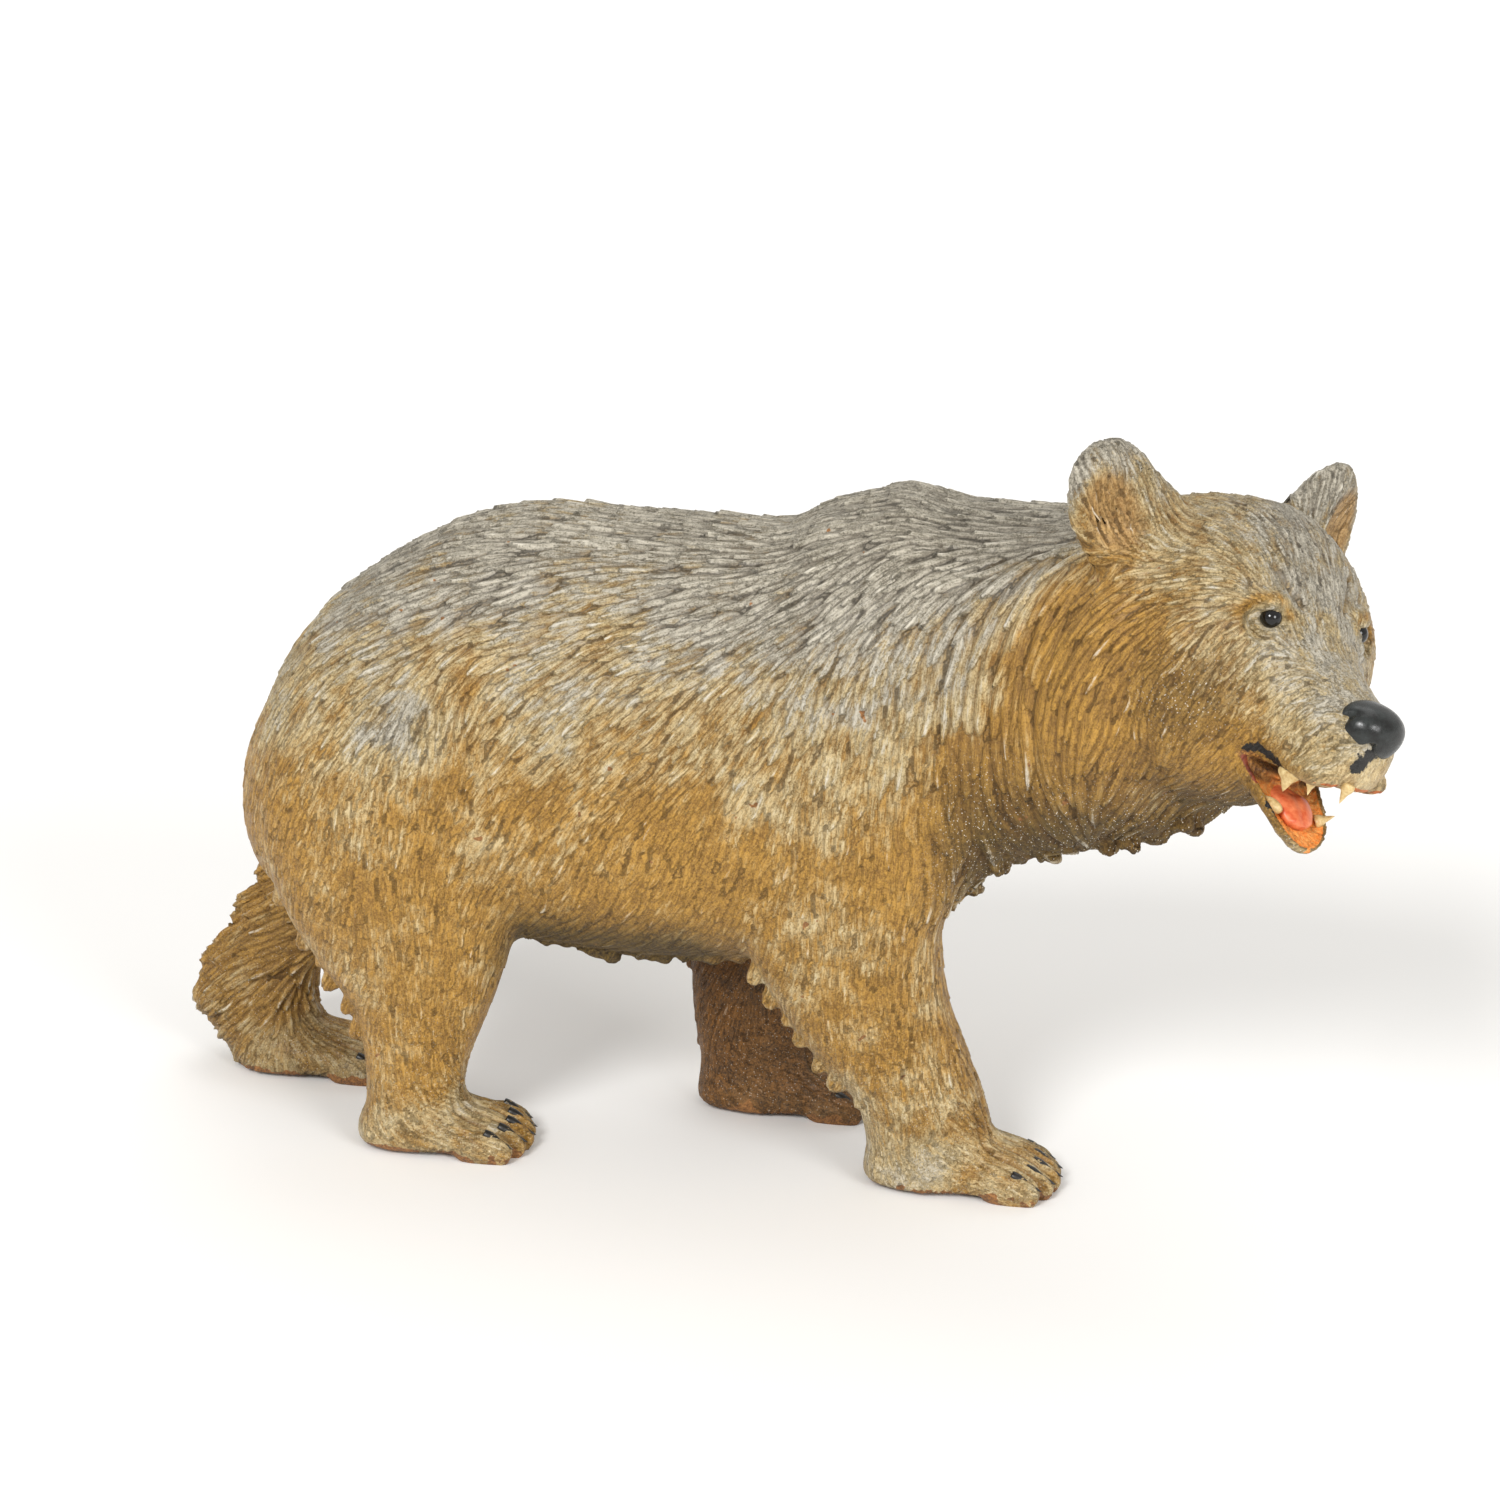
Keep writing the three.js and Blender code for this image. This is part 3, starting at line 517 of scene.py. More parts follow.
legGuides = [
    [-17, -12, 20, 0, 0, -1, 8, 2.3, 0.5], [-16, -10.5, 10, 0.05, 0, -1, 8, 2.2, 0.5],
    [-24, -10, 24, -0.4, 0, -0.9, 9, 2.6, 0.8], [-21, -9, 14, -0.5, 0, -0.85, 9, 2.6, 0.8],
    [19, -12.5, 22, -0.05, 0, -1, 8, 2.4, 0.5], [22, -11, 14, 0.2, 0, -1, 8, 2.3, 0.5],
    [25, -10, 8, 0.2, 0, -1, 8, 2.2, 0.45], [14, -10, 18, -0.5, 0, -0.9, 9, 2.6, 0.8],
    [18, -9, 10, -0.4, 0, -0.9, 8, 2.4, 0.7], [13, 12.5, 24, -0.15, 0, -1, 8, 2.4, 0.5],
    [11, 11, 14, -0.1, 0, -1, 8, 2.3, 0.5], [6.5, 8, 12, -0.5, 0, -0.85, 9, 2.6, 0.8],
    [-21, 12.5, 26, -0.3, 0, -0.95, 9, 2.6, 0.7], [-26, 10.5, 18, -0.75, 0, -0.6, 13, 3.4, 1.1],
    [-31, 9.5, 13, -0.9, 0, -0.35, 15, 3.8, 1.3], [-26, 3, 18, -0.75, 0, -0.6, 13, 3.4, 1.1],
    [-31, 3.5, 13, -0.9, 0, -0.35, 15, 3.8, 1.3], [-34, 6, 7, -0.75, 0, -0.65, 12, 3.2, 1.1],
    [30, -6, 4, 1, 0, -0.25, 8, 2.2, 0.45], [14, 6.4, 4, 1, 0, -0.25, 8, 2.2, 0.45],
    [-12, -7.2, 3.6, 1, 0, -0.25, 8, 2.2, 0.45], [-27, 5.8, 3.6, 0.7, 0, -0.7, 8, 2.6, 0.6],
    [-31, 0.5, 26, 0, 0, -1, 10, 2.4, 0.6]
]
headGuides = [
    [6.5, 0, -2.4, -1, 0, 0.3, 4.5, 1.6, 0.28], [0, 0, 3.2, -0.9, 0, 0.45, 5, 1.8, 0.34],
    [-6, 0, 7.6, -1, 0, 0.2, 7, 2.1, 0.45], [-4.5, 6, 5.2, -0.95, 0.2, 0.2, 6.5, 2, 0.42],
    [-12, 0, 6.8, -1, 0, 0, 9, 2.6, 0.6], [-4, 10.5, 1, -0.65, 0, -0.55, 6.5, 2, 0.42],
    [-3, 10.5, -4, -0.4, 0, -1, 7, 2.1, 0.48], [-4, 9.5, -10, 0, 0, -1, 9, 2.6, 0.6],
    [5, 4.6, -5, -0.35, 0, -0.9, 4.2, 1.5, 0.25], [3.5, 5, -9, -0.3, 0, -1, 4.5, 1.6, 0.28],
    [3, 0, -15, -0.9, 0, -0.3, 8, 2.4, 0.5], [-5, 0, -17, 0.1, 0, -1, 18, 4.6, 1.1],
    [-16, 6, 3, -0.9, 0, -0.4, 13, 3.4, 0.8], [-11, 11, -4, -0.3, 0, -1, 15, 3.8, 0.8],
    [-15, 11, -6, 0.1, 0, -1, 22, 5, 1.1]
]


# every point takes the mean of the guides, each weighted by 1 / (distance^2 + 5)^2
def furField(co):
    rows = [np.array(bodyGuides, float), np.array(bodyGuides, float), np.array(legGuides, float)]
    rows[1][:, [1, 4]] *= -1
    head = np.array(headGuides, float)
    head = np.vstack([head, head * [1, -1, 1, 1, -1, 1, 1, 1, 1]])
    head[:, :3] = inHead(head[:, :3])
    head[:, 3:6] = head[:, 3:6] @ headFrame.T
    rows.append(head)
    for ear in ears.values():
        base, tip = earPlace(ear)([[1, 0, 0], [5, 0, 0]])
        up = unit(tip - base)
        rows.append(np.array([[*base, *up, 6, 2.2, 0.4], [*tip, *up, 6, 2.2, 0.35]]))
    table = np.vstack(rows)
    p, g = toBody(co).astype(np.float32), table[:, :3].astype(np.float32)
    apart = np.maximum((p ** 2).sum(1)[:, None] - 2 * p @ g.T + (g ** 2).sum(1), 0)   # |p - g|^2
    near = 1 / (apart + 5) ** 2
    near /= near.sum(1, keepdims=True)
    return near @ unit(table[:, 3:6]), *(near @ table[:, k] * mm for k in (6, 7, 8))


# spreads lock seeds: a seed is kept where no other stands within its own long narrow egg
def seedLocks(co, way, length, width, area, coverage):
    chanceOf = 1 / (length * width)
    count = min(int(coverage * area * chanceOf.mean()), len(co) - 1)
    order = chance.choice(len(co), size=count, replace=False, p=chanceOf / chanceOf.sum())
    kept = np.zeros((len(order), 3))
    seeds, n = [], 0
    for i in order:
        r = kept[:n] - co[i]
        s = r @ way[i]
        near = (s / length[i]) ** 2 + ((r ** 2).sum(1) - s ** 2) / width[i] ** 2
        if n == 0 or near.min() > lock["spacing"]:
            kept[n] = co[i]
            seeds.append(i)
            n += 1
    return np.array(seeds)


# How a lock is cut. Seeds stand apart by "spacing", out of enough tries to cover the skin "coverage" times.
# "long" and "wide" are half length and half width as shares of the guides' sizes, "round" is the section,
# "bend" how far they bend sideways, and the tip stands over the root by "tipRise". The height is "depth"
# times the guides', by a factor drawn from "heights", less low on the body and on the face, more on the far
# legs, and "rootsSunk" of it lies under the uncut wood. "cell" and "offPlane" are in mm: a lock reaches one
# cell around its seed's.
lock = {"spacing": 0.42, "long": 0.72, "wide": 0.6, "round": 1.4, "tipRise": 0.4, "bend": 0.14, "coverage": 9,
        "depth": 2.1, "heights": [0.5, 1.35], "lowParts": [[0, 22, 34, 46], [0.35, 0.35, 0.5, 1]],
        "farLegs": 1.3, "face": [[-7, -1, 5], [1, 0.75, 0.5]], "leastWidth": 2.1, "rootsSunk": 0.45,
        "cell": 16, "offPlane": 5}


# each lock: height = h * (1 - |u / half|^round) * (1 - rise + rise s), s from -1 at its root to 1 at its tip,
# half width = w * (1 - s^2)^0.55; where locks overlap the higher one shows, which leaves a V cut between
def carveLocks(co, normals, way, length, width, height, seeds):
    key = np.floor((co - co.min(0)) / (lock["cell"] * mm)).astype(np.int64)
    size = key.max(0) + 3
    code = (key[:, 0] * size[1] + key[:, 1]) * size[2] + key[:, 2]
    order = np.argsort(code, kind="stable")
    codes, starts = np.unique(code[order], return_index=True)
    bounds = dict(zip(codes.tolist(), zip(starts.tolist(), np.r_[starts[1:], len(order)].tolist())))
    steps = [(a * size[1] + b) * size[2] + c for a in (-1, 0, 1) for b in (-1, 0, 1) for c in (-1, 0, 1)]
    relief = np.zeros(len(co))
    tint = np.full(len(co), 0.5)
    strand = co / mm
    bends = chance.normal(0, lock["bend"], (len(seeds), 2))
    tints = chance.random(len(seeds))
    sizes = chance.uniform(0.8, 1.25, (len(seeds), 2))
    rises = chance.uniform(*lock["heights"], len(seeds))
    for n, i in enumerate(seeds):
        halfLength, halfWidth = length[i] * lock["long"] * sizes[n, 0], width[i] * lock["wide"] * sizes[n, 1]
        hits = [bounds[k] for k in (code[i] + np.array(steps)).tolist() if k in bounds]
        index = np.concatenate([order[a:b] for a, b in hits])
        r = co[index] - co[i]
        side = np.cross(normals[i], way[i])
        s = (r @ way[i]) / halfLength
        u = r @ side - halfWidth * (bends[n, 0] * s * s * 2 + bends[n, 1] * np.sin(3 * s))
        half = halfWidth * np.clip(1 - s * s, 0, 1) ** 0.55 + 1e-9
        inside = (np.abs(s) < 1) & (np.abs(u) < half) & (np.abs(r @ normals[i]) < lock["offPlane"] * mm)
        index, s, u, half = index[inside], s[inside], u[inside], half[inside]
        facing = normals[index] @ normals[i] > 0.2
        index, s, u, half = index[facing], s[facing], u[facing], half[facing]
        section = 1 - np.abs(u / half) ** lock["round"]
        h = height[i] * rises[n] * section * (1 - lock["tipRise"] + lock["tipRise"] * s)
        higher = h > relief[index]
        index, s, u = index[higher], s[higher], u[higher]
        relief[index] = h[higher]
        tint[index] = tints[n]
        strand[index] = np.stack([u / mm, s * halfLength / mm, np.full(len(u), tints[n] * 9)], 1)
    return relief, tint, strand


# lines on the face, on both sides: line in the head's frame, half width, height, which cuts if below zero
faceLines = [
    [[[-1.85, 7.82, 1.21], [-1.75, 7.01, 1.84], [-1.54, 6.2, 2.44], [-1.33, 5.2, 2.74], [-0.86, 4.43, 2.54]],
     0.3, -0.2],
    [[[-1.14, 7.98, 0.18], [-0.89, 7.23, 0.62], [-0.71, 6.42, 1.29], [-0.3, 5.9, 1.6]], 0.22, -0.16],
    [[[-2.25, 4.34, 3.95], [-1.04, 3.58, 3.0], [0.11, 2.59, 1.97]], 0.4, -0.42],
    [[[0.23, 3.6, 1.48], [0.59, 3.79, 0.95], [0.96, 3.89, 0.44]], 0.26, 0.16],
    [[[-0.63, 6.2, -0.27], [-0.9, 5.5, 0.5], [-0.3, 5.5, 1.25], [0.5, 4.8, 1.2], [0.75, 4.5, 0.5]],
     0.22, 0.16],
    [[[-0.63, 6.2, -0.27], [-0.19, 5.79, -0.6], [0.66, 5.45, -0.53], [0.87, 4.8, -0.04]], 0.22, 0.12],
    [[[-0.04, 7.57, -1.58], [-0.5, 7.0, -0.8], [-0.63, 6.3, -0.3]], 0.22, -0.12],
    [[[1.9, 4.7, -9.6], [0.6, 5.6, -9.3]], 0.3, -0.2],
]


def faceRelief(head):
    relief = np.zeros(len(head))
    near = (head[:, 0] > -5) & (head[:, 2] > -13)
    folded = np.abs(head[near] * [0, 1, 0]) + head[near] * [1, 0, 1]
    for line, wide, high in faceLines:
        relief[near] += high * bell(distanceTo(folded, line), wide)
    return relief


# toes part along grooves that spread from the ankle, with finer gouge lines between them
pawCuts = {"deep": 0.42, "fine": 0.2, "wide": 0.26, "from": 0.38, "to": 0.78, "ankle": 0.42}


def pawRelief(body, normals):
    relief, onPaw = np.zeros(len(body)), np.zeros(len(body))
    for paw in paws.values():
        c, s = math.cos(paw["yaw"]), math.sin(paw["yaw"])
        p = (body - [*paw["heel"], 0]) @ np.array([[c, -s, 0], [s, c, 0], [0, 0, 1]])
        x = p[:, 0] / paw["length"]
        inside = (x > -0.1) & (x < 1.2) & (np.abs(p[:, 1]) < 5.5) & (p[:, 2] < 8)
        fan = toes["spread"] * (pawCuts["ankle"] + (1 - pawCuts["ankle"]) * smoothStep(x, 0.3, pawCuts["to"]))
        v = p[:, 1] / fan
        deep = sum(bell((v - at) * fan, pawCuts["wide"]) for at in (-0.75, -0.25, 0.25, 0.75))
        grown = smoothStep(x, pawCuts["from"], pawCuts["to"]) * smoothStep(p[:, 2], 0.1, 0.8) * inside
        relief -= grown * pawCuts["deep"] * deep * smoothStep(normals[:, 2], -0.6, 0.1)
        gouges = 0.5 + 0.5 * np.cos(2 * np.pi * v * 4)
        relief -= pawCuts["fine"] * gouges * smoothStep(x, 0.2, 0.5) * inside * smoothStep(-p[:, 2], -6, -3)
        low = smoothStep(-p[:, 2], -paw["instep"] - 2.4, -paw["instep"] - 0.4)
        onPaw = np.maximum(onPaw, inside * low * smoothStep(x, -0.1, 0.35))
    return relief, onPaw


# voxel sizes in mm, and how often the creases of the rough wood are filled
voxels = {"rough": 1.6, "fine": 0.9, "quick": 1.9, "creaseRounds": 26}


def voxelSkin(form, size):
    return skinArrays(applied(meshOf("voxels", form), "REMESH", mode="VOXEL", voxel_size=size * mm))


# trunk, head, legs, paws and ears run together, and the creases where they meet are filled
def roughWood():
    forms = [loft(trunk["stations"], rows=170, columns=110, endFrame=headFrame, turnFrom=trunk["turnFrom"],
                  square=trunk["square"]),
             loft(tail, rows=40, columns=24, frame=legFrame),
             loft(skull, rows=110, columns=84, square=2.1, place=inHead)]
    forms += [loft(leg, rows=90, columns=56, frame=legFrame, square=2.2) for leg in legs.values()]
    forms += [pawForm(paw) for paw in paws.values()]
    forms += [earForm(ear) for ear in ears.values()]
    co, edges, corners = voxelSkin(joinForms(forms), voxels["rough"])
    co = fillCreases(co, edges, corners, np.ones(len(co)), voxels["creaseRounds"])
    co = relax(co, edges, np.ones(len(co)), 2)
    print("rough wood:", len(co), "points")
    return toBody(co), corners, np.full(len(corners) // 4, 4)


def eggPair(name):
    at, radii = faceForms[name]
    return [egg(np.array(at) * [1, side, 1], radii, place=inHead) for side in (1, -1)]


def jawForm():
    trough = [[x, y, z, wide - jaw["rim"], jaw["depth"], min(jaw["depth"], 0.4 * below)]
              for x, y, z, wide, _, below in jaw["stations"][2:-1]]
    return cutAway(loft(jaw["stations"], rows=60, columns=56, frame=jawFrame, place=inHead),
                   [loft(trough, rows=40, columns=40, frame=jawFrame, square=3, place=inHead)])


# mouth, hollows and sockets are cut from the rough wood; jaw, lips, brows, toes and fringes are added to it
def fineWood():
    gap = loft(mouthGap, rows=30, columns=40, square=3, place=inHead)
    palate = egg(*faceForms["palate"], place=inHead)
    bead = (max(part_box("eye_left")[1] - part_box("eye_left")[0]) / 2) / hundredth + faceForms["socketClearance"]
    sockets = [egg(eyeSeat * [1, side, 1], [bead] * 3, place=inHead) for side in (1, -1)]
    body = cutAway(roughWood(), [*eggPair("hollow"), gap])
    body = cutAway(cutAway(body, [palate]), sockets)
    lips = [cutAway(form, [palate]) for form in eggPair("flew") + eggPair("lip")]
    brows = [cutAway(form, [socket]) for form, socket in zip(eggPair("brow"), sockets)]
    toeEggs = [form for paw in paws.values() for form in toeForms(paw)]
    parts = joinForms([body, jawForm(), *lips, *brows, *toeEggs, *fringeForms()])
    co, edges, corners = voxelSkin(parts, voxels["fine"])
    print("fine wood:", len(co), "points")
    crisp = sum(ball(toHead(co), at, radii) for at, radii in faceForms["crisp"])
    co = fillCreases(co, edges, corners, 1 - np.clip(crisp * 3, 0, 1), 3)
    return relax(co, edges, np.full(len(co), 0.8), 1), corners


# how deep the locks are cut at each point
def livelyShare(body, head):
    x, y, z = body.T
    neck = smoothStep(x, 26, 31)
    lively = np.interp(z, *lock["lowParts"]) * (1 - neck) + neck
    farLeg = smoothStep(y, 1, 4) * smoothStep(-z, -22, -17) * smoothStep(-x, -2, 2)
    lively += (lock["farLegs"] - lively) * farLeg
    return lively * np.interp(head[:, 0], *lock["face"])


# places on the head that are left smooth: about the nose, in the mouth and about the eyes
calmPlaces = [[2.5, [8.6, 0, -5.4], [4.2, 4.2, 4.4]], [3, [6, 0, -12], [5.5, 5, 3.4]],
              [2.2, [0, 5.2, 0.7], [2, 2.2, 1.9]], [2.2, [0, -5.2, 0.7], [2, 2.2, 1.9]]]


# how far the surface is left smooth; the soles are quite smooth and the paws' tops nearly
def calmShare(body, head, onPaw):
    calm = np.maximum(smoothStep(-body[:, 2], -0.7, -0.2), 0.8 * onPaw)
    for strength, at, radii in calmPlaces:
        calm = np.maximum(calm, np.clip(strength * ball(head, at, radii), 0, 1))
    return calm


# point = fine wood + normal * (locks - share of their height + lines cut on face and paws)
def carvedWood():
    co, corners = fineWood()
    normals = normalsOf(co, corners)
    way, length, width, height = furField(co)
    way = unit(way - (way * normals).sum(1, keepdims=True) * normals)
    q = corners.reshape(-1, 4)
    area = np.linalg.norm(np.cross(co[q[:, 2]] - co[q[:, 0]], co[q[:, 3]] - co[q[:, 1]]), axis=1).sum() / 2
    width = np.maximum(width, lock["leastWidth"] * mm)
    head, body = toHead(co), toBody(co)
    lively = livelyShare(body, head)
    height *= lock["depth"] * lively
    seeds = seedLocks(co, way, length, width, area, lock["coverage"])
    print("locks:", len(seeds), "on", round(area * 1e4), "square centimetres")
    relief, tint, strand = carveLocks(co, normals, way, length, width, height, seeds)
    lines, onPaw = pawRelief(body, normals)
    lines += faceRelief(head)
    calm = calmShare(body, head, onPaw)
    relief *= 1 - calm
    co = co + normals * (relief - lock["rootsSunk"] * height * (1 - calm) + lines * hundredth)[:, None]
    co[:, 2] = np.maximum(co[:, 2], 0)
    shown = np.clip(lively * 1.15, 0, 1) * (1 - calm)
    # the "cut" value falls in the grooves between locks and along the cut lines, where the paint's glaze darkens
    # partly as painted shade
    ridge = np.clip(relief / height, 0, 1.2) * shown + 0.75 * (1 - shown) - 1.6 * np.maximum(-lines - 0.06, 0)
    return co, corners, {"cut": ridge, "lockTint": tint, "strand": strand}, onPaw


# Grey patina lies above "edge", a height for each place "x" along the body, and gives way to ochre over
# "spread". Legs and head are worn as their lists say, by height or by place ahead, the haunch has a grey
# patch, and the low flank is less grey by "lowFlank". The paint darkens from the second height of "belly" and
# "throat" down to the first, and as much as "darkness" says of each place. This darkening is mostly painted
# shade: under the belly and throat, between the legs, on what faces down and on the far legs. The cheeks
# have a darker tone, and the paws are darkened a little too.
patina = {
    "x": [-32, -26, -21, -16, -10, 0, 10, 16, 24, 28, 31, 36, 42, 46],
    "edge": [38.5, 36.2, 35.3, 36.8, 39, 39.5, 39, 37.5, 37, 40, 44.5, 48.5, 50, 50],
    "spread": [21, 21, 21, 21, 21, 21, 21, 20, 19, 17, 14, 11, 11, 12],
    "foreLegs": [[0, 4, 10, 21, 32], [0.04, -0.08, -0.2, -0.22, -0.42]],
    "hindLegs": [[0, 4, 8, 28, 34], [-0.02, -0.1, -0.42, -0.27, -0.3]],
    "head": [[-16, -10, -4, 1, 4], [-3.4, -2.4, -1.6, 2.6, 6.6]],
    "haunch": [[-16, 12, 37.5], [6, 7, 5.5]], "lowFlank": 0.22,
    "belly": [17, 25], "throat": [32, 44], "cheek": [[-1.5, 9, -7], [6.5, 6, 6]],
    # each zone's darkness: painted shade for throat, belly, between, under and farLegs; a darker tone for the
    # cheek; the paws a little darker
    "darkness": {"throat": 0.85, "belly": 1, "between": 0.6, "under": 0.6, "farLegs": 0.1, "cheek": 0.6,
                 "forePaws": 0.07, "hindPaws": 0.2},
}

# where the lips' black line, the jaw's rim, the mark under the nose and the ochre band round an eye run
paintLines = {
    "upperLip": [[2.02, 4.68, -9.14], [2.9, 4.49, -8.65], [3.82, 3.77, -8.99], [4.87, 3.3, -9.51],
                 [5.7, 3.3, -9.9]],
    "rim": [[1.8, 4.45, -9.9], [3.26, 4.05, -10.9], [4.94, 3.81, -12.02], [6.11, 3.4, -12.8],
            [7.21, 2.8, -13.5]],
    "philtrum": [[9.84, -1.6, -6.95], [10, -1.4, -6.4], [10.1, -0.75, -5.95], [10.15, -0.3, -5.3]],
    "eyeBand": [[-1.14, 7.91, 0.27], [-1.13, 7.1, 1.03], [-0.7, 6.43, 1.7], [-0.2, 5.52, 2.02],
                [0.16, 4.41, 1.83], [0.49, 3.86, 1.06]],
}

# the mouth by place ahead: half width inside the jaw's rims, their height and middle, the upper lip's edge
mouth = {"inner": [[0, 1.5, 3.6, 5.3, 6.7, 7.6, 8.4], [4, 3.9, 3.35, 3, 2.4, 1.65, 0.2]],
         "level": [[0, 1.5, 3.6, 5.3, 6.7, 7.6, 8.5], [-8.8, -9.8, -11.2, -12.3, -13.2, -13.8, -14.4]],
         "middle": [[0, 1.5, 3.6, 5.3, 6.7, 7.6, 8.5], [0, -0.2, -0.4, -0.5, -0.8, -1.1, -1.4]],
         "lipEdge": [[3, 6.5, 8.5, 9.6], [-10.2, -9.75, -9.25, -8.8]]}


# share of grey over ochre: (height over the edge) / spread, never less than the legs' worn rest
def greyZone(body, head):
    x, y, z = body.T
    ahead, across, up = head.T
    grey = (z - np.interp(x, patina["x"], patina["edge"])) / np.interp(x, patina["x"], patina["spread"])
    at, radii = patina["haunch"]
    for side in (-1, 1):
        grey += 0.5 * ball(body, np.array(at) * [1, side, 1], radii)
    worn = np.where(x > 0, np.interp(z, *patina["foreLegs"]), np.interp(z, *patina["hindLegs"]))
    lowFlank = smoothStep(-np.abs(x - 1), -13, -7) * smoothStep(-z, -34, -25)
    grey = np.maximum(grey, worn) - patina["lowFlank"] * lowFlank
    onHead = smoothStep(ahead, -19, -12) * smoothStep(-np.abs(across), -17, -15) * (z > 25)
    headGrey = np.clip((up + np.interp(ahead, *patina["head"])) / 13, -0.6, 0.45)
    return np.clip(0.5 + grey * (1 - onHead) + headGrey * onHead, 0, 1.35)


# where the paint is darkened: painted shade on the throat, belly, what faces down, what lies between the legs
# and the far legs' inward sides, and a darker tone on the cheeks and paws; the far foreleg's russet and the
# painted glint speckles are laid out here too
def darkPaintAndShadeZones(body, head, normals, onPaw):
    x, y, z = body.T
    low, high = patina["belly"]
    belly = smoothStep(-z, -high, -low) * smoothStep(-np.abs(x), -11, -6) * smoothStep(z, 11, 15)
    low, high = patina["throat"]
    throat = smoothStep(-z, -high, -low) * smoothStep(x, 25, 31) * smoothStep(z, 20, 26)
    # between the legs and on the far legs' inward sides the paint is darkened as painted shade
    between = smoothStep(-np.abs(y), -6, -2.5) * smoothStep(-z, -24, -18)
    between *= 0.35 + 0.65 * smoothStep(x, -16, -8)
    inward = smoothStep(-normals[:, 1], -0.5, 0.3)
    farLegs = smoothStep(y, 0.5, 3.5) * smoothStep(-z, -20, -15) * inward
    at, radii = patina["cheek"]
    cheek = np.maximum(*(ball(head, np.array(at) * [1, side, 1], radii) for side in (1, -1)))
    # the zone "under" darkens what faces down, as painted shade
    zones = {"throat": throat, "belly": belly, "between": between, "farLegs": farLegs, "cheek": cheek,
             "under": smoothStep(-normals[:, 2], 0.35, 0.95), "forePaws": (x >= 0) * onPaw,
             "hindPaws": (x < 0) * onPaw}
    shadeAndDark = sum(share * zones[name] for name, share in patina["darkness"].items())
    return {"shadeAndDark": np.clip(shadeAndDark, 0, 1),
            # the far foreleg's inward side takes russet: its own reddish tone and painted shade together
            "russetAndShade": smoothStep(y, 0.5, 3) * smoothStep(-z, -22, -16) * smoothStep(x, -6, 0) * inward,
            "glintAndChipSpeckle": np.clip(throat + 0.8 * cheek + 0.3 * smoothStep(-z, -20, -8), 0, 1)}


# the painted mouth: orange lining in front, dark palate behind, red and black lines on the lips, cream muzzle
def mouthZones(head, fold, near, normals):
    ahead, across, up = head.T
    inner, level, middle = (np.interp(ahead, *mouth[name]) for name in ("inner", "level", "middle"))
    facingJaw = normals @ (headFrame @ jawFrame[:, 2])
    facingDown = -(normals @ headFrame[:, 2])
    lining = smoothStep(inner - np.abs(across - middle), -0.15, 0.15) * (ahead > 0.4) * (ahead < 8.6)
    lining *= smoothStep(level + 0.35 - up, 0, 0.3) * smoothStep(up - level, -1.9, -1.4) * (facingJaw > -0.3)
    roof = smoothStep(facingDown, -0.1, 0.4) * (ahead > 0) * (ahead < 8.8)
    roof *= smoothStep(3.1 - np.abs(across), 0, 0.5) * smoothStep(up - level, 0.3, 0.9)
    roof *= smoothStep(-up, 6.4, 7.4)
    corner = np.clip(2 * ball(fold, [1.6, 3.2, -9.7], [2.2, 2, 1.1]), 0, 1)
    deep = 1 - smoothStep(ahead, 1.8, 3.6)
    rimGap = distanceTo(fold, paintLines["rim"])
    upper = np.where(near, distanceTo(fold, paintLines["upperLip"]), 9)
    mark = np.where(near, distanceTo(head, paintLines["philtrum"]), 9)
    edge = np.abs(up - np.interp(ahead, *mouth["lipEdge"])) + 3 * (np.abs(across) < 1) * (ahead < 8)
    muzzle = np.clip(1.6 * ball(head, [8.6, 0, -8.2], [4, 4.4, 2.8]), 0, 1)
    chin = smoothStep(ahead, 3.5, 6.5) * smoothStep(-up, 13.4, 14.6) * (np.abs(across) < 5)
    lipBand = bell(edge, 0.5) * near * (ahead > 3) * (up < -7)
    return {"lining": lining * (1 - deep),
            "palate": np.maximum(np.maximum(roof, corner * smoothStep(up, -10.8, -10)), lining * deep),
            "lipLine": 1 - np.clip(np.minimum(upper * 0.7, mark * 0.5) / 0.9, 0, 1),
            "rimLine": (1 - np.clip(rimGap / 0.7, 0, 1)) * near * smoothStep(-ahead, -4.4, -3.2),
            "rimMarks": (1 - np.clip(rimGap / 0.9, 0, 1)) * near * smoothStep(ahead, 4.4, 5.2),
            "lipEdge": (1 - np.clip(edge / 0.5, 0, 1)) * near * (ahead > 4.5) * (up < -7)
            * smoothStep(-facingDown, -0.95, -0.7),
            "cream": np.maximum(np.maximum(muzzle, 0.8 * chin), lipBand)}


def earCups(body):
    cups = np.zeros(len(body))
    for ear in ears.values():
        base = earPlace(ear)(np.zeros(3))
        axes = earPlace(ear)(np.eye(3)) - base
        at, radii = (np.array(v) for v in ear["cup"])
        cup = ball((body - base) @ axes.T, at * [1, -ear["side"], 1] - [0, 0, 0.9], radii * 1.08)
        cups = np.maximum(cups, cup)
    return np.clip(cups * 4, 0, 1)


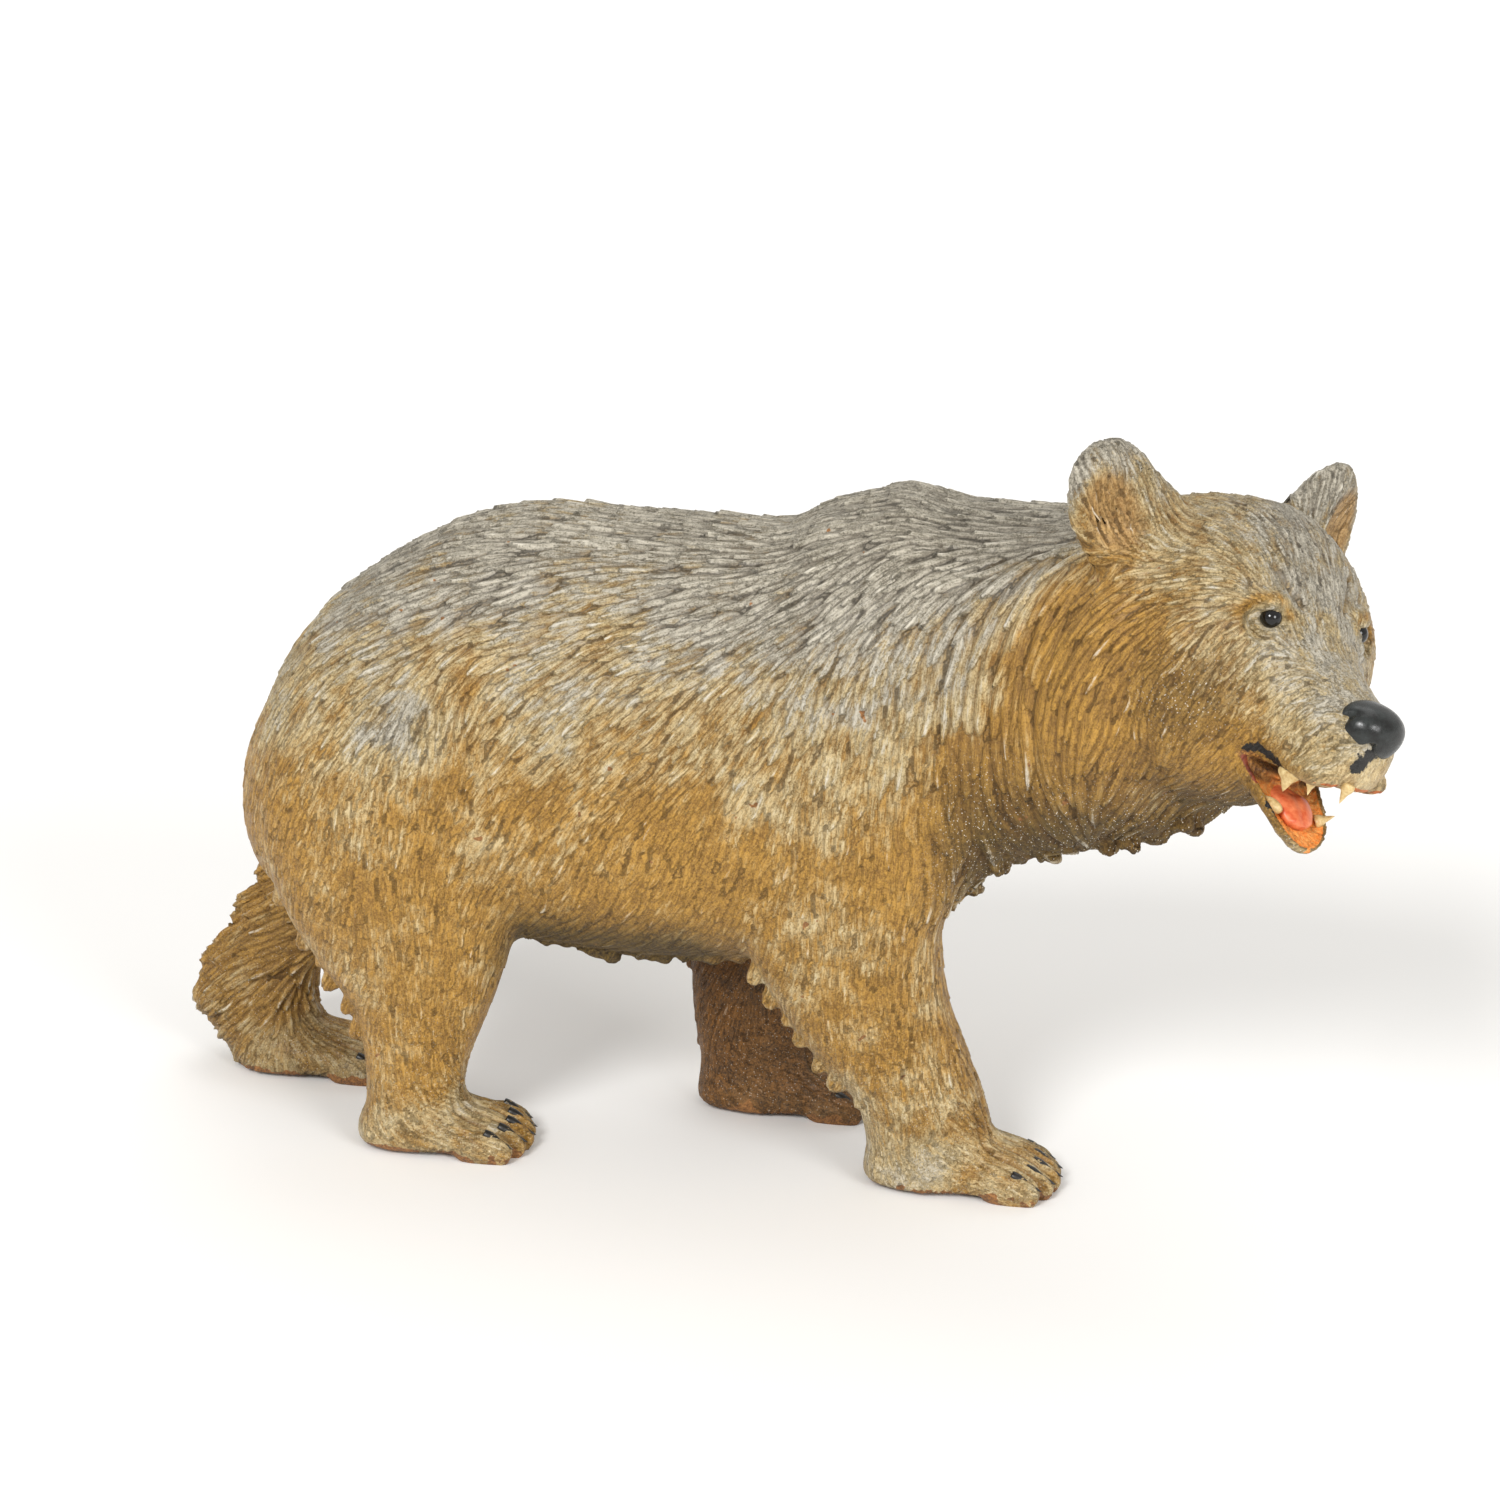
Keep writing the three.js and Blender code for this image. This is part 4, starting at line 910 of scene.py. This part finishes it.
def paintZones(co, corners, onPaw):
    normals, body, head = normalsOf(co, corners), toBody(co), toHead(co)
    fold = head * [1, 0, 1] + np.abs(head) * [0, 1, 0]
    near = (np.abs(head) < [12, 10, 16]).all(1)
    eyeBand = np.where(near, bell(distanceTo(fold, paintLines["eyeBand"]), 0.6), 0)
    return {"grey": greyZone(body, head) - 0.6 * eyeBand, "earCup": earCups(body),
            "soleEdge": smoothStep(-body[:, 2], -1.5, -0.4) * np.clip(onPaw * 3, 0, 1),
            "smooth": np.clip(onPaw * 0.7 + 1.5 * ball(head, [8.6, 0, -6.5], [4, 4.2, 4]), 0, 1),
            **darkPaintAndShadeZones(body, head, normals, onPaw), **mouthZones(head, fold, near, normals)}


# The skin is finer than one mesh should be, so it is shared among pieces that meet edge to edge: what lies
# below the first cut, then ahead of the second on the head, then ahead of the third, then behind the fourth.
woodPieces = ["wood_paws", "wood_head", "wood_shoulders", "wood_haunches", "wood_flanks"]
woodCuts = {"paws": 15.5, "head": -12, "shoulders": 17, "haunches": -9}


def pieceNumbers(co, quads):
    middle = co[quads].mean(1)
    body, head = toBody(middle), toHead(middle)
    return np.select([body[:, 2] < woodCuts["paws"], head[:, 0] > woodCuts["head"],
                      body[:, 0] > woodCuts["shoulders"], body[:, 0] < woodCuts["haunches"]], [0, 1, 2, 3], 4)


def setValues(mesh, name, values):
    kind, slot = ("FLOAT_VECTOR", "vector") if values.ndim == 2 else ("FLOAT", "value")
    mesh.attributes.new(name, kind, "POINT").data.foreach_set(slot, values.astype(np.float32).ravel())


hubInset = 4 * mm


# A piece of the skin. Each border loop is closed by a fan to its middle, which lies a little way inside. The
# normals are the whole skin's, so no seam shows.
def closedPiece(name, co, normals, quads, values):
    used, index = np.unique(quads, return_inverse=True)
    q = index.reshape(-1, 4)
    starts, ends = q.ravel(), np.roll(q, -1, 1).ravel()
    code = np.minimum(starts, ends) * len(used) + np.maximum(starts, ends)
    _, back, counts = np.unique(code, return_inverse=True, return_counts=True)
    border = counts[back.ravel()] == 1
    a, b = starts[border], ends[border]
    loop = np.arange(len(used))
    while (loop[a] != loop[b]).any():          # every border point takes the lowest number along its loop
        low = np.minimum(loop[a], loop[b])
        np.minimum.at(loop, a, low)
        np.minimum.at(loop, b, low)
        loop = loop[loop]
    names, which = np.unique(loop[a], return_inverse=True)
    share = np.bincount(which, minlength=len(names))[:, None]
    hubs = np.stack([np.bincount(which, co[used][a][:, k], len(names)) for k in range(3)], 1) / share
    hubs += unit(co[used].mean(0) - hubs) * hubInset
    points = np.vstack([co[used], hubs])
    fans = np.stack([b, a, len(used) + which], 1)
    corners, totals = np.r_[q.ravel(), fans.ravel()], np.r_[np.full(len(q), 4), np.full(len(fans), 3)]
    mesh = meshOf(name, (toBody(points), corners, totals), smooth=totals == 4)
    for key, value in values.items():
        setValues(mesh, key, np.concatenate([value[used], np.zeros((len(hubs), *value.shape[1:]))]))
    mesh.normals_split_custom_set_from_vertices(np.vstack([normals[used], unit(hubs - co[used].mean(0))]))
    print(name, 2 * len(q) + len(fans), "triangles,", len(names), "joins")
    return mesh


def finished(name, mesh, material, replaces=None):
    piece = objectOf(name, mesh)
    piece.data.materials.append(material)
    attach(piece, "root")
    if replaces:
        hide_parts(replaces)
    return piece


# sRGB hex to linear: c / 12.92 below 0.04045, else ((c + 0.055) / 1.055)^2.4
def colour(hexCode, alpha=1.0):
    c = np.array([int(hexCode[i:i + 2], 16) / 255 for i in (1, 3, 5)])
    return (*np.where(c <= 0.04045, c / 12.92, ((c + 0.055) / 1.055) ** 2.4), alpha)


# adds one node: inputs are numbers, hex colours or other nodes' outputs; it gives back the output asked for
def add(tree, kind, inputs, output=0, **settings):
    made = tree.nodes.new("ShaderNode" + kind)
    for key, value in settings.items():
        setattr(made, key, value)
    for key, value in inputs.items():
        if isinstance(value, bpy.types.NodeSocket):
            tree.links.new(value, made.inputs[key])
        else:
            made.inputs[key].default_value = colour(value) if isinstance(value, str) else value
    return made.outputs[output]


def newMaterial(name, **shader):
    made = bpy.data.materials.new(name)
    made.use_nodes = True
    for key, value in shader.items():
        made.node_tree.nodes["Principled BSDF"].inputs[key.replace("_", " ")].default_value = value
    return made, made.node_tree


# joins outputs to a material's shader by the names of its sockets
def wired(made, outputs):
    shader = made.node_tree.nodes["Principled BSDF"]
    for key, output in outputs.items():
        made.node_tree.links.new(output, shader.inputs[key])
    return made


# Patterns of the painted wood: source, scale, detail, roughness. On the place a scale counts waves a metre:
# 24 gives patches of 42 mm, 95 of 10 mm, 430 of 2.3 mm, and 1500 grit of 0.7 mm. On the strand it counts
# waves a millimetre across the lock and along it, then by lock number: "hair" is 0.8 mm wide and 8 mm long.
woodPatterns = {
    "broad": ["place", 24, 3, 0.55], "middling": ["place", 95, 3, 0.6], "fine": ["place", 430, 4, 0.65],
    "grit": ["place", 1500, 2, 0.6], "hair": ["strand", (1.3, 0.13, 1), 4, 0.65],
    "vein": ["strand", (0.5, 0.06, 1), 2, 0.5], "streak": ["strand", (0.35, 0.1, 3), 2, 0.5],
}

# how far each pattern pushes grey over ochre, and how much each mottles a paint
greyPush = {"broad": 1.2, "middling": 0.8, "streak": 0.9, "cut": 0.3, "hair": 0.9, "lockTint": 0.08}
mottling = {"middling": 0.4, "hair": 0.8, "fine": 0.6}

# the paints, from dark to light where there are two tones; the dark and russet tones lie partly as painted
# shade, the glazes partly as painted shade in the grooves, worn partly as painted highlights, and the glint
# white as painted glints
woodPaints = {
    "ochre": ["#7d5817", "#c7963c"], "beige": ["#867248", "#dac494"], "grey": ["#716a59", "#cac2b0"],
    "shadeAndDark": ["#281d09", "#6c5622"], "russetAndShade": ["#3d2406", "#84500f"], "cream": ["#b3966a", "#e6d2a2"],
    "earCup": ["#8f6a35", "#cfa566"], "palate": ["#5a3517", "#b8803a"], "lining": ["#ff8c2c", "#ffbe6a"],
    "soleEdge": ["#5b3a1c", "#9c6a36"], "warmGlazeAndShade": "#6b4818", "coolGlazeAndShade": "#544b3e", "worn": "#e3dccb",
    "dust": "#5f4f34", "ground": "#efe9dc", "black": "#171411", "lipRed": "#c06a2e", "rimRed": "#7d3416",
}

# how much of each painted zone covers what lies under it; the mouth's paints grow from nothing to full
# between two amounts
zoneShares = {"shadeAndDark": 0.93, "russetAndShade": 0.85, "cream": 0.75, "earCup": 0.9}
mouthPaints = {"palate": [0.1, 0.5], "lining": [0.3, 0.7]}

# lines with broken edges: the pattern that breaks them, its weight, the level where they start, their paint
brokenLines = {"soleEdge": ["middling", 4.0, 2.85, "soleEdge"], "rimLine": ["fine", 0.6, 0.9, "rimRed"],
               "lipEdge": ["fine", 0.8, 0.98, "lipRed"], "lipLine": ["fine", 0.9, 1.1, "black"],
               "rimMarks": ["fine", 2.0, 1.72, "black"]}


# Limewood under thin oil paint, rubbed and varnished: grey over ochre, dark in the cuts, pale on the ridges.
# The dark in the cuts is partly painted shade, and the pale ridge flecks are partly painted highlights.
def paintedLimeWood():
    made, tree = newMaterial("limewood in rubbed oil paint", IOR=1.5, Coat_Roughness=0.25)
    place = add(tree, "TexCoord", {}, "Object")
    strand = add(tree, "Attribute", {}, "Vector", attribute_name="strand")
    given = {name: add(tree, "Attribute", {}, "Fac", attribute_name=name) for name in (
        "grey", "glintAndChipSpeckle", "smooth", "cut", "lockTint", *zoneShares, *mouthPaints, *brokenLines)}
    for name, (source, scale, detail, rough) in woodPatterns.items():
        onPlace = source == "place"
        at = place if onPlace else add(tree, "Mapping", {"Vector": strand, "Scale": scale})
        given[name] = add(tree, "TexNoise", {"Vector": at, "Scale": scale if onPlace else 1.0,
                                            "Detail": detail, "Roughness": rough}, "Fac")

    # each paint is mottled between its two tones: grit + sum of weight * pattern
    mottle = given["grit"]
    for name, weight in mottling.items():
        mottle = add(tree, "Math", {0: given[name], 1: weight, 2: mottle}, operation="MULTIPLY_ADD")
    mottle = add(tree, "MapRange", {"Value": mottle, "From Min": 1.2, "From Max": 1.6})
    tones = {name: paint if isinstance(paint, str) else
             add(tree, "Mix", {0: mottle, 6: paint[0], 7: paint[1]}, 2, data_type="RGBA")
             for name, paint in woodPaints.items()}

    # grey lies on the ridges first, so its edge follows the locks: grey + sum of weight * pattern; a beige of
    # ochre and grey rubbed together lies between the two
    greyness = given["grey"]
    for name, weight in greyPush.items():
        greyness = add(tree, "Math", {0: given[name], 1: weight, 2: greyness}, operation="MULTIPLY_ADD")
    middle = 0.5 + sum(greyPush.values()) / 2
    beigeness, greyness = (
        add(tree, "MapRange", {"Value": greyness, "From Min": middle + low, "From Max": middle + high},
            interpolation_type="SMOOTHSTEP") for low, high in ((-0.38, 0.2), (0.1, 0.5)))
    layers = [(beigeness, tones["beige"]), (greyness, tones["grey"])]
    for name, share in zoneShares.items():
        layers.append((add(tree, "Math", {0: given[name], 1: share}, operation="MULTIPLY"), tones[name]))

    # the glaze stays dark in the cuts, warm over ochre and cool over grey; it is partly the wash in the grooves
    # and partly painted shade in them
    low = add(tree, "Math", {0: given["hair"], 1: 0.9, 2: given["cut"]}, operation="MULTIPLY_ADD")
    depth = add(tree, "MapRange", {"Value": low, "From Min": 1.05, "From Max": 0.5, "To Max": 0.62},
                interpolation_type="SMOOTHSTEP")
    glazeAndShade = add(tree, "Mix", {0: greyness, 6: tones["warmGlazeAndShade"], 7: tones["coolGlazeAndShade"]}, 2, data_type="RGBA")
    thin = add(tree, "MapRange", {"Value": greyness, "To Min": 0.75, "To Max": 1})
    layers.append((add(tree, "Math", {0: depth, 1: thin}, operation="MULTIPLY"), glazeAndShade))

    # the ridges are rubbed pale in short flecks, which are partly wear and partly painted highlights of the
    # varnish, and dust lies over all
    rubbed = add(tree, "Math", {0: given["fine"], 1: 0.5, 2: low}, operation="MULTIPLY_ADD")
    rubbed = add(tree, "Math", {0: given["vein"], 1: 0.6, 2: rubbed}, operation="MULTIPLY_ADD")
    rubbed = add(tree, "MapRange", {"Value": rubbed, "From Min": 1.86, "From Max": 2.2, "To Max": 0.7},
                 interpolation_type="SMOOTHSTEP")
    layers.append((rubbed, tones["worn"]))
    dusty = add(tree, "MapRange", {"Value": given["grit"], "From Min": 0.42, "From Max": 0.75, "To Max": 0.3})
    layers.append((dusty, tones["dust"]))

    # pinpoint white dots about 1 mm apart, on the throat, cheeks and low parts: painted glints of the varnish,
    # partly also chips to the white ground
    dots = add(tree, "TexVoronoi", {"Vector": place, "Scale": 900}, "Distance")
    dot = add(tree, "Math", {0: dots, 1: 0.19}, operation="LESS_THAN")
    where = add(tree, "MapRange", {"Value": given["fine"], "From Min": 0.42, "From Max": 0.5})
    for share in (where, given["glintAndChipSpeckle"]):
        dot = add(tree, "Math", {0: dot, 1: share}, operation="MULTIPLY")
    layers.append((dot, tones["ground"]))

    # painted mouth and worn soles' edges
    for name, (low, high) in mouthPaints.items():
        amount = add(tree, "MapRange", {"Value": given[name], "From Min": low, "From Max": high},
                     interpolation_type="SMOOTHSTEP")
        layers.append((amount, tones[name]))
    for name, (pattern, weight, low, paint) in brokenLines.items():
        amount = add(tree, "Math", {0: given[pattern], 1: weight, 2: given[name]}, operation="MULTIPLY_ADD")
        amount = add(tree, "MapRange", {"Value": amount, "From Min": low, "From Max": low + 0.08},
                     interpolation_type="SMOOTHSTEP")
        layers.append((amount, tones[paint]))
    base = tones["ochre"]
    for amount, paint in layers:
        base = add(tree, "Mix", {0: amount, 6: base, 7: paint}, 2, data_type="RGBA")

    # dark glaze is dull and bare of varnish; hairs stand out less where the wood is smooth
    dull = add(tree, "Math", {0: depth, 1: 0.6, 2: given["fine"]}, operation="MULTIPLY_ADD")
    dull = add(tree, "Math", {0: given["shadeAndDark"], 1: 0.6, 2: dull}, operation="MULTIPLY_ADD")
    dull = add(tree, "MapRange", {"Value": dull, "From Min": 0.25, "From Max": 1.2, "To Min": 0.34,
                                  "To Max": 0.75})
    varnish = add(tree, "MapRange", {"Value": given["shadeAndDark"], "To Min": 0.12, "To Max": 0})
    relief = add(tree, "Math", {0: given["vein"], 1: 0.9, 2: given["hair"]}, operation="MULTIPLY_ADD")
    less = add(tree, "MapRange", {"Value": given["smooth"], "To Min": 1, "To Max": 0.35})
    relief = add(tree, "Math", {0: relief, 1: less}, operation="MULTIPLY")
    relief = add(tree, "Math", {0: given["fine"], 1: 0.4, 2: relief}, operation="MULTIPLY_ADD")
    grain = add(tree, "Bump", {"Strength": 0.9, "Distance": 1 * mm, "Height": relief})
    return wired(made, {"Base Color": base, "Roughness": dull, "Coat Weight": varnish, "Normal": grain})


co, corners, values, onPaw = carvedWood()
values |= paintZones(co, corners, onPaw)
print("paint zones laid out")
limewood = paintedLimeWood()
quads = corners.reshape(-1, 4)
normals = normalsOf(co, corners)
numbers = pieceNumbers(co, quads)
for number, name in enumerate(woodPieces):
    piece = closedPiece(name, co, normals, quads[numbers == number], values)
    finished(name, piece, limewood, replaces="bear_carving")


# a blown or pressed glass bead: black through and through, with a sharp gloss and a breath of dust
def blackGlass():
    made, tree = newMaterial("black bead glass", IOR=1.52)
    place = add(tree, "TexCoord", {}, "Object")
    dust = add(tree, "TexNoise", {"Vector": place, "Scale": 900, "Detail": 3}, "Fac")
    film = add(tree, "MapRange", {"Value": dust, "From Min": 0.55, "From Max": 0.75})
    black = add(tree, "Mix", {0: film, 6: "#080706", 7: "#191611"}, 2, data_type="RGBA")
    gloss = add(tree, "MapRange", {"Value": dust, "From Min": 0.3, "From Max": 0.8, "To Min": 0.03,
                                   "To Max": 0.14})
    return wired(made, {"Base Color": black, "Roughness": gloss})


# thick black enamel: blotches of 4 mm, a fine satin grain, and chips down to the pale ground
def blackEnamel(name, tones, chipColour, chips, gloss):
    made, tree = newMaterial(name, IOR=1.5)
    place = add(tree, "TexCoord", {}, "Object")
    mottle = add(tree, "TexNoise", {"Vector": place, "Scale": 260, "Detail": 4, "Roughness": 0.6}, "Fac")
    fine = add(tree, "TexNoise", {"Vector": place, "Scale": 1100, "Detail": 3}, "Fac")
    cloud = add(tree, "MapRange", {"Value": mottle, "From Min": 0.35, "From Max": 0.7})
    black = add(tree, "Mix", {0: cloud, 6: tones[0], 7: tones[1]}, 2, data_type="RGBA")
    worn = add(tree, "Attribute", {}, "Fac", attribute_name="chipping")
    chip = add(tree, "Math", {0: mottle, 1: chips, 2: worn}, operation="MULTIPLY_ADD")
    chip = add(tree, "MapRange", {"Value": chip, "From Min": 0.5 + chips / 2, "From Max": 0.54 + chips / 2})
    colours = add(tree, "Mix", {0: chip, 6: black, 7: chipColour}, 2, data_type="RGBA")
    satin = add(tree, "MapRange", {"Value": fine, "From Min": 0.3, "From Max": 0.7, "To Min": gloss - 0.06,
                                   "To Max": gloss + 0.15})
    height = add(tree, "Math", {0: mottle, 1: chip}, operation="SUBTRACT")
    edges = add(tree, "Bump", {"Strength": 0.3, "Distance": 0.3 * mm, "Height": height})
    return wired(made, {"Base Color": colours, "Roughness": satin, "Normal": edges})


# smooth mouth paints: a colour that shifts over a few millimetres, with a satin film
def mouthPaint(name, low, high, gloss, scale=300):
    made, tree = newMaterial(name, IOR=1.5)
    place = add(tree, "TexCoord", {}, "Object")
    mottle = add(tree, "TexNoise", {"Vector": place, "Scale": scale, "Detail": 4, "Roughness": 0.6}, "Fac")
    cloud = add(tree, "MapRange", {"Value": mottle, "From Min": 0.3, "From Max": 0.7})
    paint = add(tree, "Mix", {0: cloud, 6: low, 7: high}, 2, data_type="RGBA")
    satin = add(tree, "MapRange", {"Value": mottle, "From Min": 0.3, "From Max": 0.7, "To Min": gloss - 0.08,
                                   "To Max": gloss + 0.12})
    uneven = add(tree, "Bump", {"Strength": 0.35, "Distance": 0.3 * mm, "Height": mottle})
    return wired(made, {"Base Color": paint, "Roughness": satin, "Normal": uneven})


# Eyes: glass beads of the solid model's size in their own places.
beadGlass = blackGlass()
for side in ("left", "right"):
    low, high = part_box("eye_" + side)
    radius = max(high - low) / 2 / hundredth
    bead = egg(toBody(np.array(eyeMiddle[side])), [radius] * 3, rows=40, columns=48)
    finished("bead_eye_" + side, meshOf("bead_eye_" + side, bead), beadGlass, "eye_" + side)


# Nose: a blunt pad with a comma-shaped nostril on each side and a notch under its middle. The enamel is
# chipped low down and along the notch.
nose = {"at": [8.2, 0, -4.3], "radii": [2.6, 2.9, 1.95], "blunt": [0.92, 0.92, 0.9],
        "nostril": [8.15, 2.75, -3.85], "lean": [0.45, 0.9], "nostrilDepth": 0.35,
        "notch": -1.35, "notchHigh": 0.75, "farLobe": 0.35, "chipped": [5.2, 6.3], "notchChipped": [4.6, 5.4]}


def noseForm():
    points, corners, totals = egg([0, 0, 0], [1, 1, 1], rows=90, columns=110)
    p = np.sign(points) * np.abs(points) ** nose["blunt"] * nose["radii"] + nose["at"]
    under = smoothStep(nose["at"][2] - p[:, 2], 0.2, 1.6)
    p[:, 2] += nose["notchHigh"] * under * bell(p[:, 1] - nose["notch"], 0.5) * smoothStep(p[:, 0], 8.5, 9.8)
    p[:, 2] -= nose["farLobe"] * under * bell(p[:, 1] - 0.9, 1.1)
    at, lean = np.array(nose["nostril"]), unit(np.array(nose["lean"]))
    for side in (-1, 1):
        ahead, over = p[:, 0] - at[0], p[:, 2] - at[2]
        along, across = ahead * lean[0] + over * lean[1], ahead * lean[1] - over * lean[0]
        comma = bell(across - 0.35 * along * along, 0.36) * bell(along, 0.85) * (p[:, 1] * side > 0.6)
        p[:, 1] -= side * nose["nostrilDepth"] * comma
    chipping = 0.62 * smoothStep(-p[:, 2], *nose["chipped"]) \
        + 0.4 * bell(p[:, 1] - nose["notch"], 0.5) * smoothStep(-p[:, 2], *nose["notchChipped"])
    return (inHead(p), corners, totals), chipping


noseShape, chipping = noseForm()
noseMesh = meshOf("nose_pad", noseShape)
setValues(noseMesh, "chipping", chipping)
noseEnamel = blackEnamel("black enamel of the nose", ["#0d0d0b", "#2a2e2d"], "#d8c9a4", 0.9, 0.24)
finished("nose_pad", noseMesh, noseEnamel)


# Mouth: tongue and teeth. A groove runs along the tongue's top, whose height at both ends is "top".
tongue = {"stations": [[2.4, -0.3, -11.6, 0.6, 0.3, 0.5], [3.3, -0.4, -11.9, 1.5, 0.6, 0.8],
                       [4.4, -0.45, -12.1, 1.8, 0.75, 0.9], [5.4, -0.6, -12.6, 1.75, 0.7, 0.8],
                       [6.2, -0.75, -13.1, 1.35, 0.5, 0.6], [6.6, -0.8, -13.3, 0.5, 0.3, 0.3]],
          "groove": 0.2, "ahead": [2.4, 6.6], "middle": [-0.3, -0.8], "top": [-8.1, -7.6]}


def tongueForm():
    points, corners, totals = loft(tongue["stations"], rows=70, columns=64, frame=jawFrame)
    along, middle, height = (np.interp(points[:, 0], tongue["ahead"], ends)
                             for ends in ([0, 1], tongue["middle"], tongue["top"]))
    top = smoothStep(points @ jawFrame[:, 2] - height, 0, 0.4)
    groove = tongue["groove"] * bell(points[:, 1] - middle, 0.4) * top * (1 - 0.6 * along)
    points -= jawFrame[:, 2] * groove[:, None]
    return inHead(points), corners, totals


tonguePaint = mouthPaint("salmon tongue paint", "#c9502c", "#f09060", 0.34)
finished("tongue", meshOf("tongue", tongueForm()), tonguePaint)

# each tooth: place, way, length, radius, how flat it is; one more is worn to a stump
teeth = [[[9.5, -1.3, -9.15], [-0.1, 0, -1], 1.7, 0.75, 0.7],
         [[7.3, -2.6, -9.85], [0.1, 0, -1], 1.1, 0.5, 0.8],
         [[5.4, -3.1, -10.1], [0.05, 0, -1], 1.7, 1.3, 0.4],
         [[5.9, 2.1, -12.6], [0.35, 0.5, 0.45], 1.6, 0.7, 0.8]]
stump = [[4.6, -2.8, -12.45], [1.2, 0.5, 0.55]]
toothForms = [spike(at, way, length, radius, wide=(1, 0, 0), flatness=flat, sunk=0.45, rows=22, columns=20,
                    place=inHead) for at, way, length, radius, flat in teeth] + [egg(*stump, place=inHead)]
toothPaint = mouthPaint("cream tooth paint", "#b8945a", "#e3cd96", 0.36, scale=700)
finished("teeth", meshOf("teeth", joinForms(toothForms)), toothPaint)


# Claws: low dark ridges along the toes' tops, chipped to the wood.
claws = {"ahead": 0.4, "over": 2.1, "towards": [1, 0, -0.5], "length": 2.8, "radius": 0.5}
clawForm = joinForms([
    spike([toeReach(paw, side) + claws["ahead"], toes["spread"] * side, claws["over"]], claws["towards"],
          claws["length"], claws["radius"], flatness=0.9, taper=0.6, rows=22, columns=16, place=pawPlace(paw))
    for paw in paws.values() for side in toes["sides"]])
clawMesh = meshOf("claws", clawForm)
setValues(clawMesh, "chipping", 0.2 + 0.3 * chance.random(len(clawForm[0])))
finished("claws", clawMesh, blackEnamel("black claw enamel", ["#14120f", "#2e2b26"], "#a58f68", 1.2, 0.32))
print("small pieces done")


# The stage: a pale floor, soft studio light and the photo's own point of view. The camera's place is in mm
# beside a bear 420 mm long, of which a hundredth is 4.2 mm.
view = {"at": [364.3, -1510.4, 703.1], "back": (0.1954, -0.9192, 0.3420), "lens": 116.57, "sensor": 36,
        "far": 60}
stage = {"half": 25, "colour": "#f4f3f1", "rough": 0.9, "world": (1, 0.99, 0.97, 1), "worldStrength": 0.66}


# faces something along a way
def aimed(made, at, way):
    made.location = at
    made.rotation_mode = "QUATERNION"
    made.rotation_quaternion = way.to_track_quat("-Z", "Y")


camera = objectOf("camera", bpy.data.cameras.new("camera"))
aimed(camera, toRow(np.array(view["at"]) / 4.2), -Vector(view["back"]).normalized())
camera.data.lens = view["lens"]
camera.data.sensor_width = view["sensor"]
camera.data.clip_end = view["far"]
bpy.context.scene.camera = camera

floorMesh = bpy.data.meshes.new("floor")
floorCorners = [(stage["half"] * x, stage["half"] * y, 0) for x, y in ((-1, -1), (1, -1), (1, 1), (-1, 1))]
floorMesh.from_pydata(floorCorners, [], [(0, 1, 2, 3)])
floor = objectOf("floor", floorMesh)
paleFloor, _ = newMaterial("pale floor", Base_Color=colour(stage["colour"]), Roughness=stage["rough"])
floor.data.materials.append(paleFloor)

# each light: where it comes from, its strength and how wide it looks, in degrees
lights = {"key": [(-0.4, -1.5, 1.2), 1.8, 18], "fill": [(1.4, -1.2, 0.8), 1.25, 24],
          "top": [(0.2, 0.9, 1.7), 0.4, 40]}
for name, (at, strength, wide) in lights.items():
    light = objectOf(name, bpy.data.lights.new(name, "SUN"))
    aimed(light, at, -Vector(at))
    light.data.energy = strength
    light.data.angle = math.radians(wide)
world = bpy.data.worlds.new("studio")
bpy.context.scene.world = world
world.use_nodes = True
world.node_tree.nodes["Background"].inputs["Color"].default_value = stage["world"]
world.node_tree.nodes["Background"].inputs["Strength"].default_value = stage["worldStrength"]
bpy.context.scene.view_settings.view_transform = "Standard"
